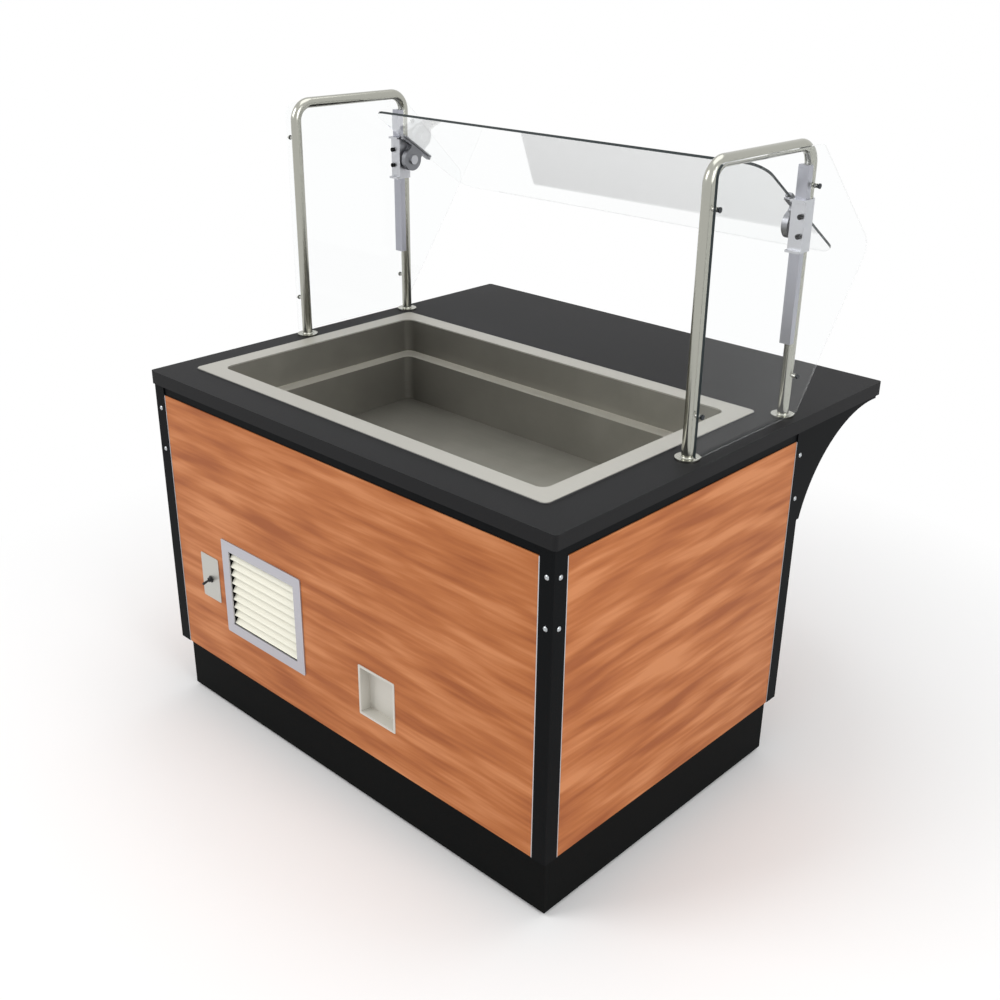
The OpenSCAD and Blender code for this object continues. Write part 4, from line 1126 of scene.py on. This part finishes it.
@dataclass(frozen=True)
class Studio:
    """Camera at the photograph's place, soft lamps, white world and pale floor.

    Attributes:
        eye: Place of the camera, in metres.
        right: The camera's right.
        up: The camera's up.
        focal_px: Focal length in pixels of the photograph.
        centre_px: The photograph's optical centre.
        ambient: Strength of the world on surfaces that aren't mirrors.
        aim: The point that the lamps face, about the middle of the object.
        lamps: The lamps.
        paint: Colour of the floor.
        paint_rough: Roughness of the floor.
        fade: Distances at which the floor starts to turn white and is white, in metres.
        rings: Radii of the floor's rings, from its edge to its middle, in metres.
        points: Points round a ring.
    """

    eye: tuple[float, float, float] = (1.8797, -2.0421, 1.8234)
    right: tuple[float, float, float] = (0.7225, 0.6914, 0.0084)
    up: tuple[float, float, float] = (-0.2907, 0.2927, 0.9109)
    focal_px: float = 1222.55
    centre_px: tuple[float, float] = (491.94, 499.52)
    ambient: float = 0.62
    aim: tuple[float, float, float] = (0.0, 0.0, 0.7)
    lamps: tuple[Lamp, ...] = (
        Lamp("key_lamp", (-2.2, -3.6, 3.8), 95.0, 2.6),
        Lamp("side_lamp", (4.2, -0.8, 2.8), 70.0, 2.4),
        Lamp("top_lamp", (0.2, 0.6, 4.6), 45.0, 3.0),
    )
    paint: str = "f6f6f6"
    paint_rough: float = 0.9
    fade: tuple[float, float] = (0.9, 1.9)
    rings: tuple[float, ...] = (30.0, 9.0, 4.0, 2.0, 1.0, 0.001)
    points: int = 64

    def camera(self) -> None:
        """Makes the camera: the optical centre becomes a shift, and the focal length a lens."""
        data = bpy.data.cameras.new("camera")
        data.sensor_width = SENSOR_MM
        data.lens = SENSOR_MM * self.focal_px / PICTURE_PX
        data.shift_x = (PICTURE_PX / 2 - self.centre_px[0]) / PICTURE_PX
        data.shift_y = (self.centre_px[1] - PICTURE_PX / 2) / PICTURE_PX
        camera = bpy.data.objects.new("camera", data)
        right = Vector(self.right).normalized()
        back = right.cross(Vector(self.up)).normalized()
        turn = Matrix((right, back.cross(right), back)).transposed()
        camera.matrix_world = Matrix.Translation(self.eye) @ turn.to_4x4()
        bpy.context.scene.collection.objects.link(camera)
        bpy.context.scene.camera = camera

    def seen(self, tree: bpy.types.NodeTree) -> bpy.types.NodeSocket:
        """Finds the rays that show the background: from the camera, a mirror or through glass.

        Args:
            tree: The material's or world's node tree.

        Returns:
            A socket that is 1 on those rays.
        """
        path = add_node(tree, "ShaderNodeLightPath").outputs
        shown = path["Is Camera Ray"]
        for ray in (path["Is Glossy Ray"], path["Is Transmission Ray"]):
            both = add_node(tree, "ShaderNodeMath", {0: shown, 1: ray}, operation="MAXIMUM")
            shown = both.outputs[0]
        return shown

    def world(self) -> None:
        """Makes a white world that lights the object at a plain level."""
        world = bpy.data.worlds.new("white_studio")
        world.use_nodes = True
        bpy.context.scene.world = world
        tree = world.node_tree
        strength = add_node(
            tree,
            "ShaderNodeMapRange",
            {"Value": self.seen(tree), "To Min": self.ambient, "To Max": 1.0},
        )
        sky = tree.nodes["Background"]
        sky.inputs["Color"].default_value = WHITE
        tree.links.new(strength.outputs[0], sky.inputs["Strength"])

    def floor(self) -> None:
        """Makes a round white floor of rings, which keeps the object's shadow and fades out."""
        around = np.linspace(0, 2 * math.pi, self.points, endpoint=False)
        radii = np.array(self.rings)[:, None]
        level = np.zeros((len(self.rings), self.points))
        grid = np.stack([radii * np.cos(around), radii * np.sin(around), level], axis=-1)
        floor = surface("studio_floor", [grid], (False, True), self.floor_paint())

    def floor_paint(self) -> bpy.types.Material:
        """Mixes white paint near the object with plain white light far from it, where seen.

        Returns:
            The floor's material.
        """
        material = bpy.data.materials.new("floor_paint")
        material.use_nodes = True
        tree = material.node_tree
        shader = tree.nodes["Principled BSDF"]
        shader.inputs["Base Color"].default_value = linear(self.paint)
        shader.inputs["Roughness"].default_value = self.paint_rough
        shader.inputs["Specular IOR Level"].default_value = 0.0
        place = add_node(tree, "ShaderNodeTexCoord").outputs["Object"]
        far = add_node(tree, "ShaderNodeVectorMath", {0: place}, operation="LENGTH")
        fade = add_node(
            tree,
            "ShaderNodeMapRange",
            {"Value": far.outputs["Value"], "From Min": self.fade[0], "From Max": self.fade[1]},
        )
        white = add_node(
            tree,
            "ShaderNodeMath",
            {0: fade.outputs[0], 1: self.seen(tree)},
            operation="MULTIPLY",
        )
        light = add_node(tree, "ShaderNodeEmission", {"Color": WHITE})
        both = add_node(
            tree,
            "ShaderNodeMixShader",
            {0: white.outputs[0], 1: shader.outputs[0], 2: light.outputs[0]},
        )
        out = tree.nodes["Material Output"]
        tree.links.new(both.outputs[0], out.inputs["Surface"])
        return material

    def build(self) -> None:
        """Sets the picture's colour handling, then makes camera, world, lamps and floor."""
        bpy.context.scene.view_settings.view_transform = "Standard"
        self.camera()
        self.world()
        for lamp in self.lamps:
            lamp.hang(self.aim)
        self.floor()


def main() -> None:
    """Builds the studio and every sub-assembly."""
    logging.basicConfig(level=logging.INFO, format="%(message)s")
    Studio().build()
    for part in (
        Cabinet(),
        Worktop(),
        ColdWell(),
        CoolingUnit(),
        FrontFittings(),
        GlassGuard(),
        Casters(),
    ):
        part.build()
        LOG.info("built %s", type(part).__name__)


if __name__ == "__main__":
    main()
